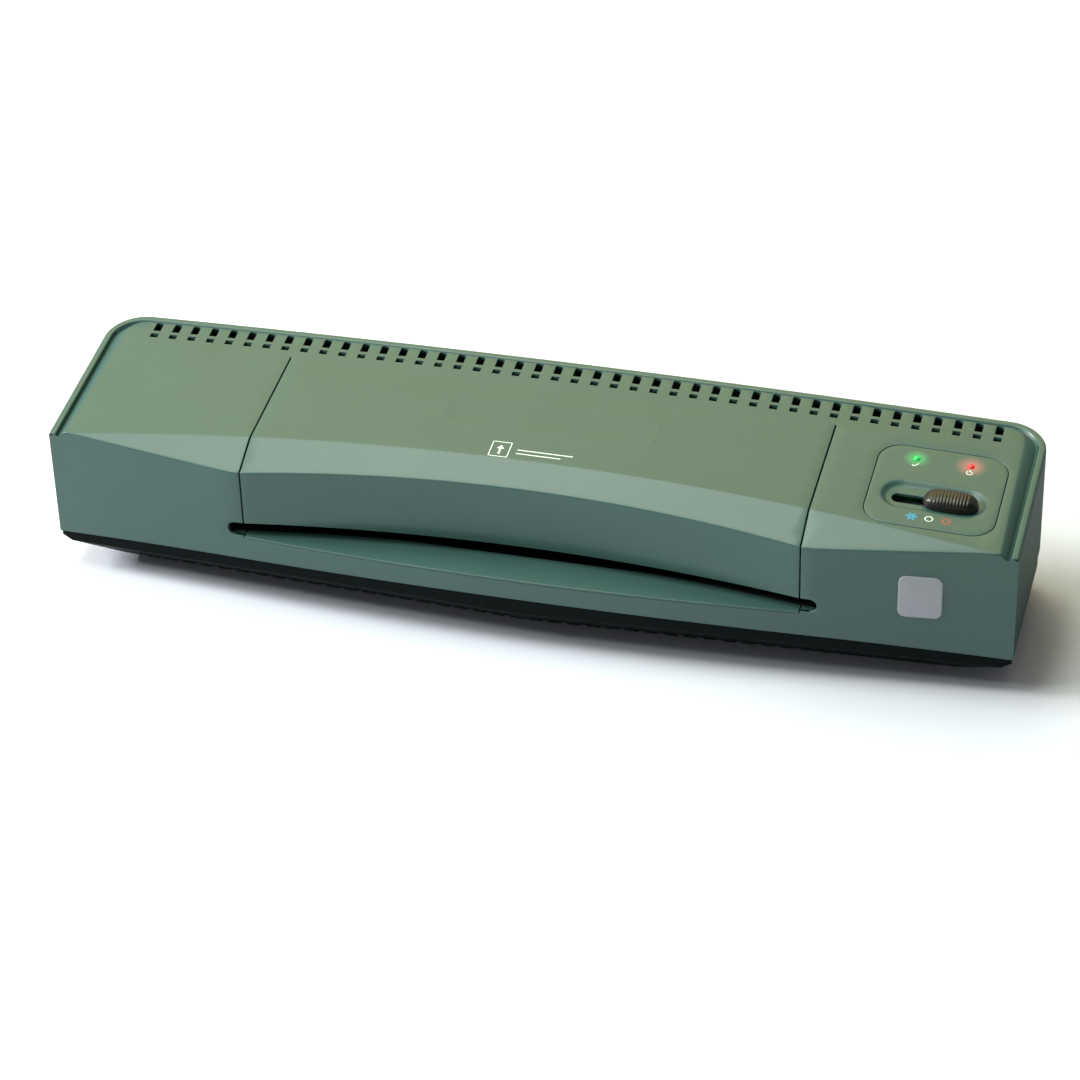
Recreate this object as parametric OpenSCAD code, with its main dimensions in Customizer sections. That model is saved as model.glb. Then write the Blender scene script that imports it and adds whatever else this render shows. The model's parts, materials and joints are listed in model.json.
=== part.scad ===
// Pouch laminator: a free-standing office machine with four driven rollers,
// two heater plates and a sliding mode switch. Millimetres, +Z up, front faces -Y.
// Inside place(), y is the depth behind the front face and z is the height above
// the centre plane of the feeding slot.

/* [Body] */
// Overall length, end to end
length = 520; // [518:1:524]
// Depth from the flat front strips to the rear
depth = 118; // [117.5:0.5:120]
// Height of the feeding slot above the table
slot_z = 47.5; // [47:0.5:52]
// Wall thickness of the mouldings
wall = 2.5; // [2:0.1:2.8]
// Radius of the rear corners in plan
corner_r = 21; // [18:1:24]
// Half the distance between the two seams of the centre cover
seam_x = 150.1; // [148:0.1:152]
// How far the fascia curves back at its middle
fascia_dip = 12.1; // [10:0.1:13]
// Gap between neighbouring mouldings
seam_gap = 0.4; // [0.2:0.1:0.6]

/* [Feeding slot] */
// Half the length of the slot, to its round ends
slot_half = 159; // [156:1:160]
// Height of the slot
slot_h = 8; // [7:0.1:8.4]

/* [Vents] */
// Number of vent slots across the rear of the top
vent_count = 44; // [20:2:44]
// Distance between vent slots
vent_pitch = 10.83; // [10:0.01:10.85]
// Width of one vent slot
vent_w = 4.1; // [3:0.1:5]

/* [Rollers] */
// Distance between an upper and a lower roller axis
roller_drop = 18; // [18]
// Radius of the rubber sleeves
sleeve_r = 8.9; // [8.7:0.05:8.95]
// Radius of the steel cores under the rubber
core_r = 6; // [5:0.5:7]
// Radius of the journals at the ends of the cores
journal_r = 4; // [4]
// Running clearance of a journal in its bearing
bearing_clearance = 0.05; // [0.03:0.01:0.08]
// Half the length of the rubber sleeves
sleeve_half = 153; // [150:1:153]

/* [Mode switch] */
// Travel of the knob from hot, through off, to cold
slide_travel = 17.8; // [16:0.1:18]
// Length of the knob
knob_l = 28.5; // [26:0.5:30]
// Width of the knob
knob_w = 14; // [12:0.5:15]

/* [Hidden] */

end_x = length / 2;
strip_x = seam_x + 7;      // where the flat strip beside a seam ends
end_set_back = 9.4;        // how far the end faces lean back at the corners
face_slope = end_set_back / (end_x - strip_x);
// Below the slot the end faces run on into one bow, which stands out at the middle
front_bow = face_slope * strip_x / 2;

// The top is a shallow arch that rises towards the rear, with a steeper facet in
// front. Each surface is z = z0 + slope * y - bow * x * x.
top_z0 = 45.7;
top_slope = 0.075;
top_bow = 7.32e-5;
facet_z0 = 34.9;
facet_slope = 0.459;
facet_bow = -5.03e-5;
rim_z0 = 43;
rim_slope = 0.082;
rim_bow = 6e-5;
groove_depth = 3;
rim_w = 3;
groove_w = 3;
shelf_z = -slot_h / 2;     // the floor of the slot
shelf_t = 2.2;
nose_h = 1;                // the front edge of the shelf laps over the housing
shelf_rear = 15.2;
skirt_z0 = -15.7;
skirt_slope = 0.091;
skirt_bow = 1.4175e-4;

// The black base: its floor, the step below the skirt and its sloping sides
floor_z = -45;
step_z = -26;
toe_y = 20;                // of the toe behind the front, at the flat strips
toe_lean = front_bow / strip_x;
heel_y = 10;
base_end = 230;
base_t = 3;                // from the underside to the feet of the ribs and bosses
tray_inset = 0.8;          // of the base's outline inside that of the housing
tray_fit = 0.3;            // clearance of the base's lip inside the housing
tray_lip = 3;              // how far that lip reaches up into the housing
tray_wall = 2;
rib_size = [8, 12];        // of the ribs under the feet of the frames
pilot_r = 1.22;            // of the holes for the frames' screws
foot_h = slot_z + floor_z;

// Cord gland in the rear wall of the base
gland_x = 215;
gland_z = -20;
gland_r = 6;
gland_bore_r = 3.6;

// Vent rows
vent_low = [97.7, 101.0];
vent_high = [104.2, 109.6];
vent_shift = 1.3;          // of the rows towards the control panel
cover_rear = 92;
intake_pitch = 10.4;
intake_first = -218;
intake_count = 36;
intake_size = [4, 22, 6];

// Where the casing screws and the feet stand, as [x, y]
screw_points = [[-222, 34], [-222, 98], [222, 98], [170.4, 28]];
foot_points = [[-196, 38], [-196, 94], [196, 38], [196, 94]];
screw_r = 1.25;
screw_clear_r = 1.7;
screw_head_r = 3.2;
boss_r = 4.5;
boss_top = -30;

// Badge on the front of the right end: its middle as [x, z], and its size
badge_at = [211.5, 11.3];
badge_size = [22.5, 25.5];
badge_corner = 4;
badge_t = 0.6;

// Control panel, on the right end
panel_c = [210.4, 51.3];
panel_size = [67.6, 64];
panel_corner = 12.5;
flange_w = 1.8;             // overlap of the panel's flange under the housing
flange_t = 1.6;
lens_v = 30;               // behind the middle of the dish
lens_dx = 14.2;
dish_c = [210.4, 44];
dish_size = [54, 19];
dish_depth = 1.8;
stem_slot = [43, 7];
knob_v = -1.2;             // the knob's line, in front of the middle of the dish
knob_h = 6.6;
knob_lift = 0.3;           // the knob's clearance over the dish

// The control panel follows the top, so its parts sit in a frame that is tangent to
// the top at the middle of the dish: u runs along the slide, v back, w outwards.
panel_tilt = 2 * top_bow * dish_c[0] * 180 / PI;
board_w = -16;             // underside of the circuit board
board_t = 1.6;
switch_w = board_w + board_t;
switch_h = 7;

// Roller train, seen from the side as [y, z]
frame_x = 163;             // inner face of a side frame
frame_t = 2;
tab_z = -34;               // underside of the frames' feet
foot_tab_x = 157;
foot_tab_y = [42, 86];
spring_top = 28;
heat_y = 42;
pull_y = 84;
gear_module = 1;
roller_teeth = 18;
idler_teeth = 24;
pinion_teeth = 12;
low_z = -roller_drop / 2;
idler_y = (heat_y + pull_y) / 2;
pinion_z = low_z - gear_module * (idler_teeth + pinion_teeth) / 2;
gear_x = -168;             // inboard face of the gears, on the left
gear_t = 6;
bearing_r = 6;
motor_x = -180;            // outboard face of the motor plate
motor_r = 14;
shaft_r = 2.5;

// Colours
shell_c = [0.44, 0.52, 0.44];
skirt_c = [0.33, 0.44, 0.42];
black_c = [0.05, 0.07, 0.07];
steel_c = [0.70, 0.71, 0.73];
rubber_c = [0.55, 0.22, 0.16];

module place() { translate([0, (front_bow - depth) / 2, slot_z]) children(); }

module sides() {
    children();
    mirror([1, 0, 0]) children();
}

// ---------- outlines and surfaces of the casing ----------

function fascia_y(x) = fascia_dip * (1 - pow(x / seam_x, 2));

function end_pts(t) = concat(
    [[strip_x, t], [end_x - t, end_set_back + t]],
    [for (a = [0:7.5:90])
        [end_x - corner_r + (corner_r - t) * cos(a), depth - corner_r + (corner_r - t) * sin(a)]]
);

function flipped(pts) = [for (i = [len(pts) - 1:-1:0]) [-pts[i][0], pts[i][1]]];

function bow_y(x) = -front_bow * (1 - pow(x / strip_x, 2));

module upper_plan(t) {
    polygon(concat(
        flipped(end_pts(t)),
        [for (i = [0:40]) let (x = -seam_x + seam_x * i / 20) [x, fascia_y(x) + t]],
        end_pts(t)));
}

module lower_plan(t) {
    polygon(concat(
        flipped(end_pts(t)),
        [for (i = [1:39]) let (x = -strip_x + strip_x * i / 20) [x, bow_y(x) + t]],
        end_pts(t)));
}

module column(t = 0) {
    translate([0, 0, shelf_z]) linear_extrude(80) upper_plan(t);
    translate([0, 0, -60]) linear_extrude(60 + shelf_z) lower_plan(t);
}

// Everything below the surface z = z0 + slope * y - bow * x * x
module below(z0, slope, bow) {
    reach = 270;
    tilt = atan(slope);
    translate([0, 0, z0]) rotate([tilt, 0, 0]) translate([0, 260, 0]) rotate([90, 0, 0])
        linear_extrude(420) polygon(concat(
            [for (i = [-24:24]) let (x = reach * i / 24) [x, -bow * x * x * cos(tilt)]],
            [[reach, -150], [-reach, -150]]));
}

module below_top(t = 0) { below(top_z0 - t, top_slope, top_bow); }
module below_facet(t = 0) { below(facet_z0 - t, facet_slope, facet_bow); }
module below_rim(t = 0) { below(rim_z0 - t, rim_slope, rim_bow); }
module below_skirt(t = 0) { below(skirt_z0 - t, skirt_slope, skirt_bow); }

module raised_area(t) {
    x = end_x - rim_w - groove_w - t;
    r = corner_r - rim_w - groove_w - t;
    y = depth - rim_w - groove_w - t;
    translate([0, 0, -60]) linear_extrude(140) union() {
        translate([-x, -20]) square([2 * x, y - r + 20]);
        translate([-x + r, -20]) square([2 * (x - r), y + 20]);
        for (s = [-1, 1]) translate([s * (x - r), y - r]) circle(r = r, $fn = 96);
    }
}

module rim_area() {
    difference() {
        column();
        raised_area(-groove_w);
    }
}

module casing_volume() {
    intersection() {
        column();
        below_rim(groove_depth);
    }
    intersection() {
        rim_area();
        below_rim();
    }
    intersection() {
        column();
        raised_area(0);
        below_top();
        below_facet();
    }
}

module casing_cavity() {
    intersection() {
        column(wall);
        union() {
            below_rim(groove_depth + wall);
            raised_area(wall);
        }
        below_top(wall);
        below_facet(wall / cos(atan(facet_slope)));
    }
}

module slot_cut(y0, y1, half, h) {
    translate([-half + h / 2, y0, -h / 2]) cube([2 * half - h, y1 - y0, h]);
    for (s = [-1, 1]) translate([s * (half - h / 2), y0, 0]) rotate([-90, 0, 0])
        cylinder(r = h / 2, h = y1 - y0, $fn = 48);
}

module casing() {
    difference() {
        casing_volume();
        casing_cavity();
        below_skirt();
        slot_cut(-10, 40, slot_half, slot_h);
        slot_cut(95, depth + 5, slot_half, slot_h);
    }
}

// The part of the casing between the seams, above the slot
module cover_zone(gap) {
    translate([-seam_x - gap, -10, 0]) cube([2 * (seam_x + gap), cover_rear + gap + 10, 80]);
}

module shelf_zone(gap) {
    translate([-seam_x - gap, -10, shelf_z - nose_h - gap])
        cube([2 * (seam_x + gap), shelf_rear + 10, 5]);
}

// ---------- casing parts ----------

module vents() {
    first = vent_shift - vent_pitch * (vent_count - 1) / 2;
    for (i = [0:vent_count - 1]) translate([first + vent_pitch * i, 0, 20])
        linear_extrude(60) {
            translate([-vent_w / 2, vent_low[0]]) square([vent_w, vent_low[1] - vent_low[0]]);
            translate([-vent_w / 2, vent_high[0]]) square([vent_w, vent_high[1] - vent_high[0]]);
            translate([0, vent_high[1]]) circle(d = vent_w, $fn = 24);
        }
}

module rounded_rect(size, r) {
    for (sx = [-1, 1], sy = [-1, 1])
        translate([sx * (size[0] / 2 - r), sy * (size[1] / 2 - r)]) circle(r = r, $fn = 64);
    square([size[0] - 2 * r, size[1]], center = true);
    square([size[0], size[1] - 2 * r], center = true);
}

module panel_prism(gap, z0 = 30) {
    translate([panel_c[0], panel_c[1], z0]) linear_extrude(40)
        rounded_rect([panel_size[0] + 2 * gap, panel_size[1] + 2 * gap], panel_corner + gap);
}

module screw_posts() {
    for (p = screw_points) translate([p[0], p[1], boss_top]) difference() {
        cylinder(r = 4, h = 90, $fn = 32);
        translate([0, 0, -1]) cylinder(r = screw_r + 0.02, h = 20, $fn = 32);
    }
}

module main_housing() {
    color(shell_c) place() {
        difference() {
            casing();
            cover_zone(seam_gap);
            shelf_zone(seam_gap / 2);
            vents();
            panel_prism(seam_gap);
        }
        intersection() {
            screw_posts();
            below_top(1);
        }
    }
}

module centre_cover() {
    color(shell_c) place() intersection() {
        casing();
        cover_zone(0);
    }
}

// The floor of the slot, with a nose that laps over the front wall of the housing
module feed_shelf() {
    color(skirt_c) place() difference() {
        translate([0, 0, shelf_z - shelf_t]) linear_extrude(shelf_t) intersection() {
            lower_plan(0);
            translate([-seam_x, -20]) square([2 * seam_x, shelf_rear + 20]);
        }
        translate([0, 0, shelf_z - shelf_t - 1]) linear_extrude(shelf_t + 1 - nose_h) difference() {
            lower_plan(-1);
            lower_plan(wall + seam_gap);
        }
    }
}

module sloping_sides(t) {
    lean = atan(toe_lean);
    toe_slope = (step_z - floor_z) / toe_y;
    // floor, sloping toe and heel, seen from the side
    for (s = [-1, 1]) intersection() {
        translate([s * strip_x, 0, 0]) rotate([0, 0, s * lean])
            translate([-400, 0, 0]) rotate([90, 0, 90]) linear_extrude(800)
                polygon([
                    [t - 10, 30], [t - 10, step_z + 10 * toe_slope], [toe_y + t * 0.6, floor_z + t],
                    [depth + 30, floor_z + t], [depth + 30, 30]
                ]);
        translate([s > 0 ? -1 : -400, -60, -60]) cube([401, 300, 120]);
    }
}

module base_volume(t) {
    intersection() {
        column(t);
        sloping_sides(t);
        // the chamfered ends
        translate([0, 200, 0]) rotate([90, 0, 0]) linear_extrude(260) polygon([
            [-end_x + t, 30], [-end_x + t, step_z - 1], [-base_end + t * 0.6, floor_z + t],
            [base_end - t * 0.6, floor_z + t], [end_x - t, step_z - 1], [end_x - t, 30]
        ]);
        // the sloping heel
        translate([-300, 0, 0]) rotate([90, 0, 90]) linear_extrude(600) polygon([
            [-30, 30], [-30, floor_z + t], [depth - heel_y - t * 0.6, floor_z + t],
            [depth - t, step_z], [depth - t, 30]
        ]);
    }
}

module base_tray() {
    color(black_c) place() {
        difference() {
            union() {
                intersection() {
                    base_volume(tray_inset);
                    below_skirt(0.1);
                }
                intersection() {
                    base_volume(wall + tray_fit);
                    below_skirt(-tray_lip);
                }
            }
            base_volume(wall + tray_fit + tray_wall);
            intersection() {
                base_volume(wall + tray_inset);
                below_skirt(tray_lip);
            }
            // air intake slots through the toe
            for (i = [0:intake_count - 1])
                let (x = intake_first + intake_pitch * i, y = toe_y + toe_lean * (abs(x) - strip_x))
                    translate([x - intake_size[0] / 2, y - 6, floor_z - 1]) cube(intake_size);
            // screw holes
            for (p = screw_points) translate([p[0], p[1], -60]) {
                cylinder(r = screw_clear_r, h = 60, $fn = 32);
                cylinder(r = screw_head_r, h = 60 + floor_z + 1.5, $fn = 32);
            }
            // cord gland hole in the rear wall
            translate([gland_x, depth - 10, gland_z]) rotate([-90, 0, 0])
                cylinder(r = gland_r + 0.02, h = 20, $fn = 48);
        }
        // standing ribs that carry the side frames
        for (s = [-1, 1], y = foot_tab_y) translate([s * foot_tab_x, y, floor_z + base_t]) difference() {
            translate([-rib_size[0] / 2, -rib_size[1] / 2, 0])
                cube([rib_size[0], rib_size[1], tab_z - floor_z - base_t]);
            translate([0, 0, 2]) cylinder(r = pilot_r, h = 10, $fn = 24);
        }
        // bosses inside that take the casing screws
        for (p = screw_points) translate([p[0], p[1], 0]) difference() {
            translate([0, 0, floor_z + base_t]) cylinder(r = boss_r, h = boss_top - floor_z - base_t, $fn = 32);
            translate([0, 0, -60]) cylinder(r = screw_clear_r, h = 60, $fn = 32);
        }
    }
}

module panel_frame() {
    top = top_z0 + top_slope * dish_c[1] - top_bow * dish_c[0] * dish_c[0];
    translate([dish_c[0], dish_c[1], top]) rotate([atan(top_slope), panel_tilt, 0]) children();
}

module control_panel() {
    color(shell_c) place() difference() {
        union() {
            difference() {
                intersection() {
                    casing_volume();
                    panel_prism(0);
                }
                below_top(wall + 0.3);
            }
            // flange that bears on the underside of the housing
            difference() {
                intersection() {
                    panel_prism(flange_w);
                    below_top(wall + 0.05);
                    below_facet(wall / cos(atan(facet_slope)) + 0.1);
                    casing_cavity();
                }
                below_top(wall + flange_t);
                panel_prism(-flange_w, 20);
            }
        }
        panel_frame() {
            translate([0, 0, -dish_depth]) linear_extrude(20) rounded_rect(dish_size, dish_size[1] / 2 - 0.01);
            translate([0, knob_v, -20]) linear_extrude(30) rounded_rect(stem_slot, stem_slot[1] / 2 - 0.01);
            for (s = [-1, 1]) translate([s * lens_dx, lens_v, -20]) cylinder(r = 2.52, h = 30, $fn = 48);
        }
    }
}

module lens(s) {
    place() panel_frame() translate([s * lens_dx, lens_v, -0.4]) {
        translate([0, 0, -4]) cylinder(r = 2.5, h = 4.2, $fn = 48);
        translate([0, 0, -5]) cylinder(r = 3.4, h = 1.5, $fn = 48);
        translate([0, 0, switch_w + 0.4]) cylinder(r = 2, h = -4.5 - switch_w, $fn = 48);
        intersection() {
            translate([0, 0, -2.4]) sphere(r = 3.5, $fn = 48);
            translate([0, 0, -0.1]) cylinder(r = 2.5, h = 3, $fn = 48);
        }
    }
}

module ready_lens() { color([0.2, 0.9, 0.3]) lens(-1); }
module power_lens() { color([0.95, 0.2, 0.15]) lens(1); }

module badge() {
    color([0.62, 0.64, 0.67]) place()
        translate([badge_at[0], (badge_at[0] - strip_x) * face_slope, badge_at[1]])
            rotate([90, 0, atan(face_slope)])
                linear_extrude(badge_t) rounded_rect(badge_size, badge_corner);
}

module rubber_feet() {
    color(black_c) place() for (p = foot_points) translate([p[0], p[1], -slot_z])
        cylinder(r = 7, h = foot_h, $fn = 64);
}

module housing_screws() {
    color(steel_c) place() for (p = screw_points) translate([p[0], p[1], floor_z + 0.2]) {
        cylinder(r = 2.8, h = 1.3, $fn = 32);
        cylinder(r = screw_r, h = 28, $fn = 32);
    }
}

module cord_gland() {
    color(black_c) place() translate([gland_x, depth - 0.8, gland_z]) rotate([-90, 0, 0]) difference() {
        union() {
            translate([0, 0, -8]) cylinder(r = gland_r, h = 8, $fn = 48);
            translate([0, 0, -7]) cylinder(r = 8, h = 2.95, $fn = 48);
            cylinder(r = 7.5, h = 0.8, $fn = 48);
        }
        translate([0, 0, -20]) cylinder(r = gland_bore_r, h = 30, $fn = 48);
    }
}

// ---------- frames, bearings and springs ----------

module frame_plate() {
    difference() {
        union() {
            translate([0, 26, -34]) cube([frame_t, 74, 64]);
            // foot and spring tabs, bent inwards from the plate
            translate([-10, 34, tab_z]) cube([12, 58, frame_t]);
            for (y = [heat_y, pull_y]) translate([-8, y - 7, spring_top]) cube([10, 14, frame_t]);
        }
        for (y = [heat_y, pull_y]) {
            translate([-1, y, low_z]) rotate([0, 90, 0]) cylinder(r = bearing_r + 0.02, h = 5, $fn = 64);
            translate([-1, y - 6.1, 1.5]) cube([5, 12.2, 16.5]);
        }
        for (y = foot_tab_y) translate([foot_tab_x - frame_x, y, -40]) cylinder(r = 1.7, h = 10, $fn = 32);
        // seat of the idler pin
        translate([-1, idler_y, low_z]) rotate([0, 90, 0]) cylinder(r = 3.02, h = 5, $fn = 48);
    }
}

module left_frame() { color(steel_c) place() mirror([1, 0, 0]) translate([frame_x, 0, 0]) frame_plate(); }
module right_frame() { color(steel_c) place() translate([frame_x, 0, 0]) frame_plate(); }

rod_points = [[33, 24], [93, 24], [33, -28], [93, -28]];

module tie_rods() {
    color(steel_c) place() for (p = rod_points) translate([-frame_x, p[0], p[1]]) rotate([0, 90, 0])
        cylinder(r = 3, h = 2 * frame_x, $fn = 32);
}

module frame_screws() {
    color(steel_c) place() {
        for (s = [-1, 1], p = rod_points) translate([s * (frame_x + frame_t), p[0], p[1]])
            rotate([0, s * 90, 0]) cylinder(r = 3, h = 1.8, $fn = 32);
        for (s = [-1, 1], y = foot_tab_y) translate([s * foot_tab_x, y, tab_z + frame_t]) {
            cylinder(r = 2.8, h = 2, $fn = 32);
            translate([0, 0, -6]) cylinder(r = 1.2, h = 6, $fn = 32);
        }
    }
}

module motor_plate() {
    color(steel_c) place() {
        difference() {
            translate([motor_x, 42, -40]) cube([frame_t, 42, 34]);
            translate([motor_x - 1, idler_y, pinion_z]) rotate([0, 90, 0])
                cylinder(r = 4, h = 5, $fn = 48);
        }
        // stand-offs back to the frame
        for (p = [[46, -32], [80, -32]]) translate([motor_x + frame_t, p[0], p[1]])
            rotate([0, 90, 0]) cylinder(r = 2.5, h = -frame_x - frame_t - motor_x - frame_t, $fn = 32);
    }
}

module bearing_bore(x0, h) {
    translate([x0, 0, 0]) rotate([0, 90, 0])
        cylinder(r = journal_r + bearing_clearance, h = h, $fn = 64);
}

module lower_bearings() {
    color([0.72, 0.55, 0.30]) place() sides() for (y = [heat_y, pull_y])
        translate([frame_x, y, low_z]) difference() {
            union() {
                rotate([0, 90, 0]) cylinder(r = bearing_r, h = 3.5, $fn = 64);
                translate([-2, 0, 0]) rotate([0, 90, 0]) cylinder(r = 7.4, h = 2, $fn = 64);
            }
            bearing_bore(-5, 12);
        }
}

module upper_bearing_blocks() {
    color([0.86, 0.84, 0.78]) place() sides() for (y = [heat_y, pull_y])
        translate([frame_x, y, -low_z]) difference() {
            union() {
                translate([-8, -8, -7]) cube([8, 16, 15]);
                translate([0, -6, -6]) cube([3.5, 12, 12]);
            }
            bearing_bore(-10, 16);
        }
}

// A coil spring along +Z: a tube swept along a helix, with closed ends
module coil_spring(r, wire, h, turns) {
    sides_n = 6;
    steps = 12 * turns;
    pts = [for (i = [0:steps]) let (a = 360 * i / 12, z = wire + (h - 2 * wire) * i / steps)
        for (k = [0:sides_n - 1]) let (b = 360 * k / sides_n, q = r + wire * cos(b))
            [q * cos(a), q * sin(a), z + wire * sin(b)]];
    faces = concat(
        [[for (k = [0:sides_n - 1]) k]],
        [for (i = [0:steps - 1], k = [0:sides_n - 1]) let (n = (k + 1) % sides_n)
            [i * sides_n + k, (i + 1) * sides_n + k, (i + 1) * sides_n + n, i * sides_n + n]],
        [[for (k = [sides_n - 1:-1:0]) steps * sides_n + k]]);
    polyhedron(pts, faces);
}

module pressure_springs() {
    color(steel_c) place() sides() for (y = [heat_y, pull_y])
        translate([frame_x - 4, y, -low_z + 8]) coil_spring(3, 0.5, spring_top + low_z - 8, 4);
}

// ---------- heaters ----------

heater_w = 16;
heater_gap = 1.2;

module heater_profile() {
    polygon([
        [-heater_w / 2, 1.2], [-heater_w / 2 + 1.5, 0], [heater_w / 2 - 1.5, 0], [heater_w / 2, 1.2],
        [heater_w / 2, 7], [heater_w / 2 - 1.2, 7], [heater_w / 2 - 1.2, 4], [-heater_w / 2 + 1.2, 4],
        [-heater_w / 2 + 1.2, 7], [-heater_w / 2, 7]
    ]);
}

module heater_plate() {
    color([0.78, 0.79, 0.80]) place() translate([-frame_x, idler_y, heater_gap])
        rotate([90, 0, 90]) linear_extrude(2 * frame_x) heater_profile();
}

// Mirrors a part about the centre plane of the slot
module turned_over() { translate([0, 0, 2 * slot_z]) mirror([0, 0, 1]) children(); }

module upper_heater_plate() { heater_plate(); }
module lower_heater_plate() { turned_over() heater_plate(); }

module heating_element() {
    color([0.80, 0.66, 0.42]) place() translate([-145, idler_y - 6, heater_gap + 4]) cube([290, 12, 1.4]);
}

module upper_heating_element() { heating_element(); }
module lower_heating_element() { turned_over() heating_element(); }

module thermostat() {
    color([0.2, 0.2, 0.2]) place() translate([40, idler_y, heater_gap + 5.4]) {
        cylinder(r = 6, h = 7, $fn = 48);
        for (s = [-1, 1]) translate([s * 3 - 0.4, -2, 7]) cube([0.8, 4, 6]);
    }
}

module thermal_fuse() {
    color([0.75, 0.72, 0.65]) place() translate([-60, idler_y, heater_gap + 5.4 + 2])
        rotate([0, 90, 0]) cylinder(r = 2, h = 14, $fn = 32);
}

// ---------- sheet guides ----------

exit_guide_y = 112.5;

module guide(y0, y1, z0, z1) {
    color(black_c) place() translate([-frame_x, 0, 0]) rotate([90, 0, 90]) linear_extrude(2 * frame_x)
        polygon([[y0, z0], [y1, z1], [y1, z1 + 1.8], [y0, z0 + 8]]);
}

module upper_infeed_guide() { guide(15.5, 31.5, 4.2, 1.6); }
module lower_infeed_guide() { turned_over() guide(15.5, 31.5, 4.2, 1.6); }
module upper_exit_guide() { guide(exit_guide_y, 95, 4.2, 2); }
module lower_exit_guide() { turned_over() guide(exit_guide_y, 95, 4.2, 2); }

// ---------- electrical parts ----------

board_size = [54, 52];
board_v = 8;               // middle of the board, behind the middle of the dish
post_points = [[-24, -14], [24, -14], [-24, 30], [24, 30]];

module circuit_board() {
    color([0.10, 0.36, 0.20]) place() panel_frame() difference() {
        translate([-board_size[0] / 2, board_v - board_size[1] / 2, board_w])
            cube([board_size[0], board_size[1], board_t]);
        for (p = post_points) translate([p[0], p[1], board_w - 1]) cylinder(r = 1.6, h = 4, $fn = 32);
    }
}

// Posts between the control panel and the board, with the ends of their screws
module board_posts() {
    color(black_c) place() panel_frame() for (p = post_points) translate([p[0], p[1], 0]) {
        difference() {
            translate([0, 0, switch_w]) cylinder(r = 3, h = 9.4, $fn = 32);
            translate([0, 0, switch_w - 1]) cylinder(r = 1.52, h = 6, $fn = 32);
        }
        translate([0, 0, board_w - 1.6]) cylinder(r = 2.8, h = 1.6, $fn = 32);
        translate([0, 0, board_w - 0.1]) cylinder(r = 1.5, h = 6, $fn = 32);
    }
}

module slide_switch() {
    color([0.15, 0.15, 0.16]) place() panel_frame() translate([0, knob_v, switch_w]) difference() {
        translate([-19, -5, 0]) cube([38, 10, switch_h]);
        translate([-slide_travel / 2 - 3.5, -2, 3]) cube([slide_travel + 7, 4, 5]);
    }
}

module relay() {
    color([0.12, 0.22, 0.50]) place() panel_frame() translate([-10, 12, switch_w]) cube([19, 14, 9]);
}

module terminal_block() {
    color([0.85, 0.85, 0.80]) place() translate([178, 84, floor_z + wall + 0.8]) difference() {
        cube([36, 14, 13]);
        for (i = [0:2]) translate([6 + 12 * i, 7, 5]) cylinder(r = 2, h = 10, $fn = 32);
    }
}

module gear_motor() {
    color([0.62, 0.63, 0.62]) place() translate([motor_x, idler_y, pinion_z]) rotate([0, -90, 0]) {
        difference() {
            cylinder(r = motor_r, h = 18, $fn = 72);
            translate([0, 0, -1]) cylinder(r = shaft_r + bearing_clearance, h = 12, $fn = 48);
        }
        translate([0, 0, 18]) cylinder(r = motor_r - 1.5, h = 32, $fn = 72);
        translate([0, 0, 50]) cylinder(r = 4, h = 3, $fn = 48);
    }
}

// ---------- rollers and gears ----------

// One tooth flank is drawn from the root to the tip by the involute's polar angle
function involute_angle(r, rb) = let (q = max(1, r / rb), t = sqrt(q * q - 1)) t * 180 / PI - atan(t);

function tooth_pts(teeth, phase) = let (
        rp = gear_module * teeth / 2,
        rb = rp * cos(20),
        ra = rp + 0.85 * gear_module,
        rf = rp - 1.15 * gear_module,
        play = 0.09,
        half = 90 / teeth - play / rp * 180 / PI / 2 + involute_angle(rp, rb),
        radii = [for (i = [0:4]) let (r0 = max(rb, rf + 0.1)) r0 + (ra - r0) * i / 4])
    [for (n = [0:teeth - 1]) let (c = phase + 360 * n / teeth)
        each concat(
            [[rf, c - half - 0.6]],
            [for (r = radii) [r, c - half + involute_angle(r, rb)]],
            [for (i = [4:-1:0]) [radii[i], c + half - involute_angle(radii[i], rb)]],
            [[rf, c + half + 0.6]])];

module gear(teeth, phase, bore, thickness) {
    rotate([90, 0, 90]) linear_extrude(thickness) difference() {
        polygon([for (p = tooth_pts(teeth, phase)) [p[0] * cos(p[1]), p[0] * sin(p[1])]]);
        circle(r = bore, $fn = 64);
    }
}

module roller_core(y, z) {
    color(steel_c) place() translate([0, y, z]) rotate([0, 90, 0]) {
        cylinder(r = core_r, h = 2 * sleeve_half, center = true, $fn = 72);
        translate([0, 0, gear_x - gear_t]) cylinder(r = journal_r, h = frame_x + 5 - gear_x + gear_t, $fn = 64);
    }
}

module roller_sleeve(y, z) {
    color(rubber_c) place() translate([0, y, z]) rotate([0, 90, 0]) difference() {
        cylinder(r = sleeve_r, h = 2 * sleeve_half, center = true, $fn = 96);
        cylinder(r = core_r, h = 2 * sleeve_half + 2, center = true, $fn = 72);
    }
}

module roller_gear(y, z, phase) {
    color([0.90, 0.88, 0.80]) place() translate([gear_x - gear_t, y, z])
        gear(roller_teeth, phase, journal_r, gear_t);
}

half_tooth = 180 / roller_teeth;

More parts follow.
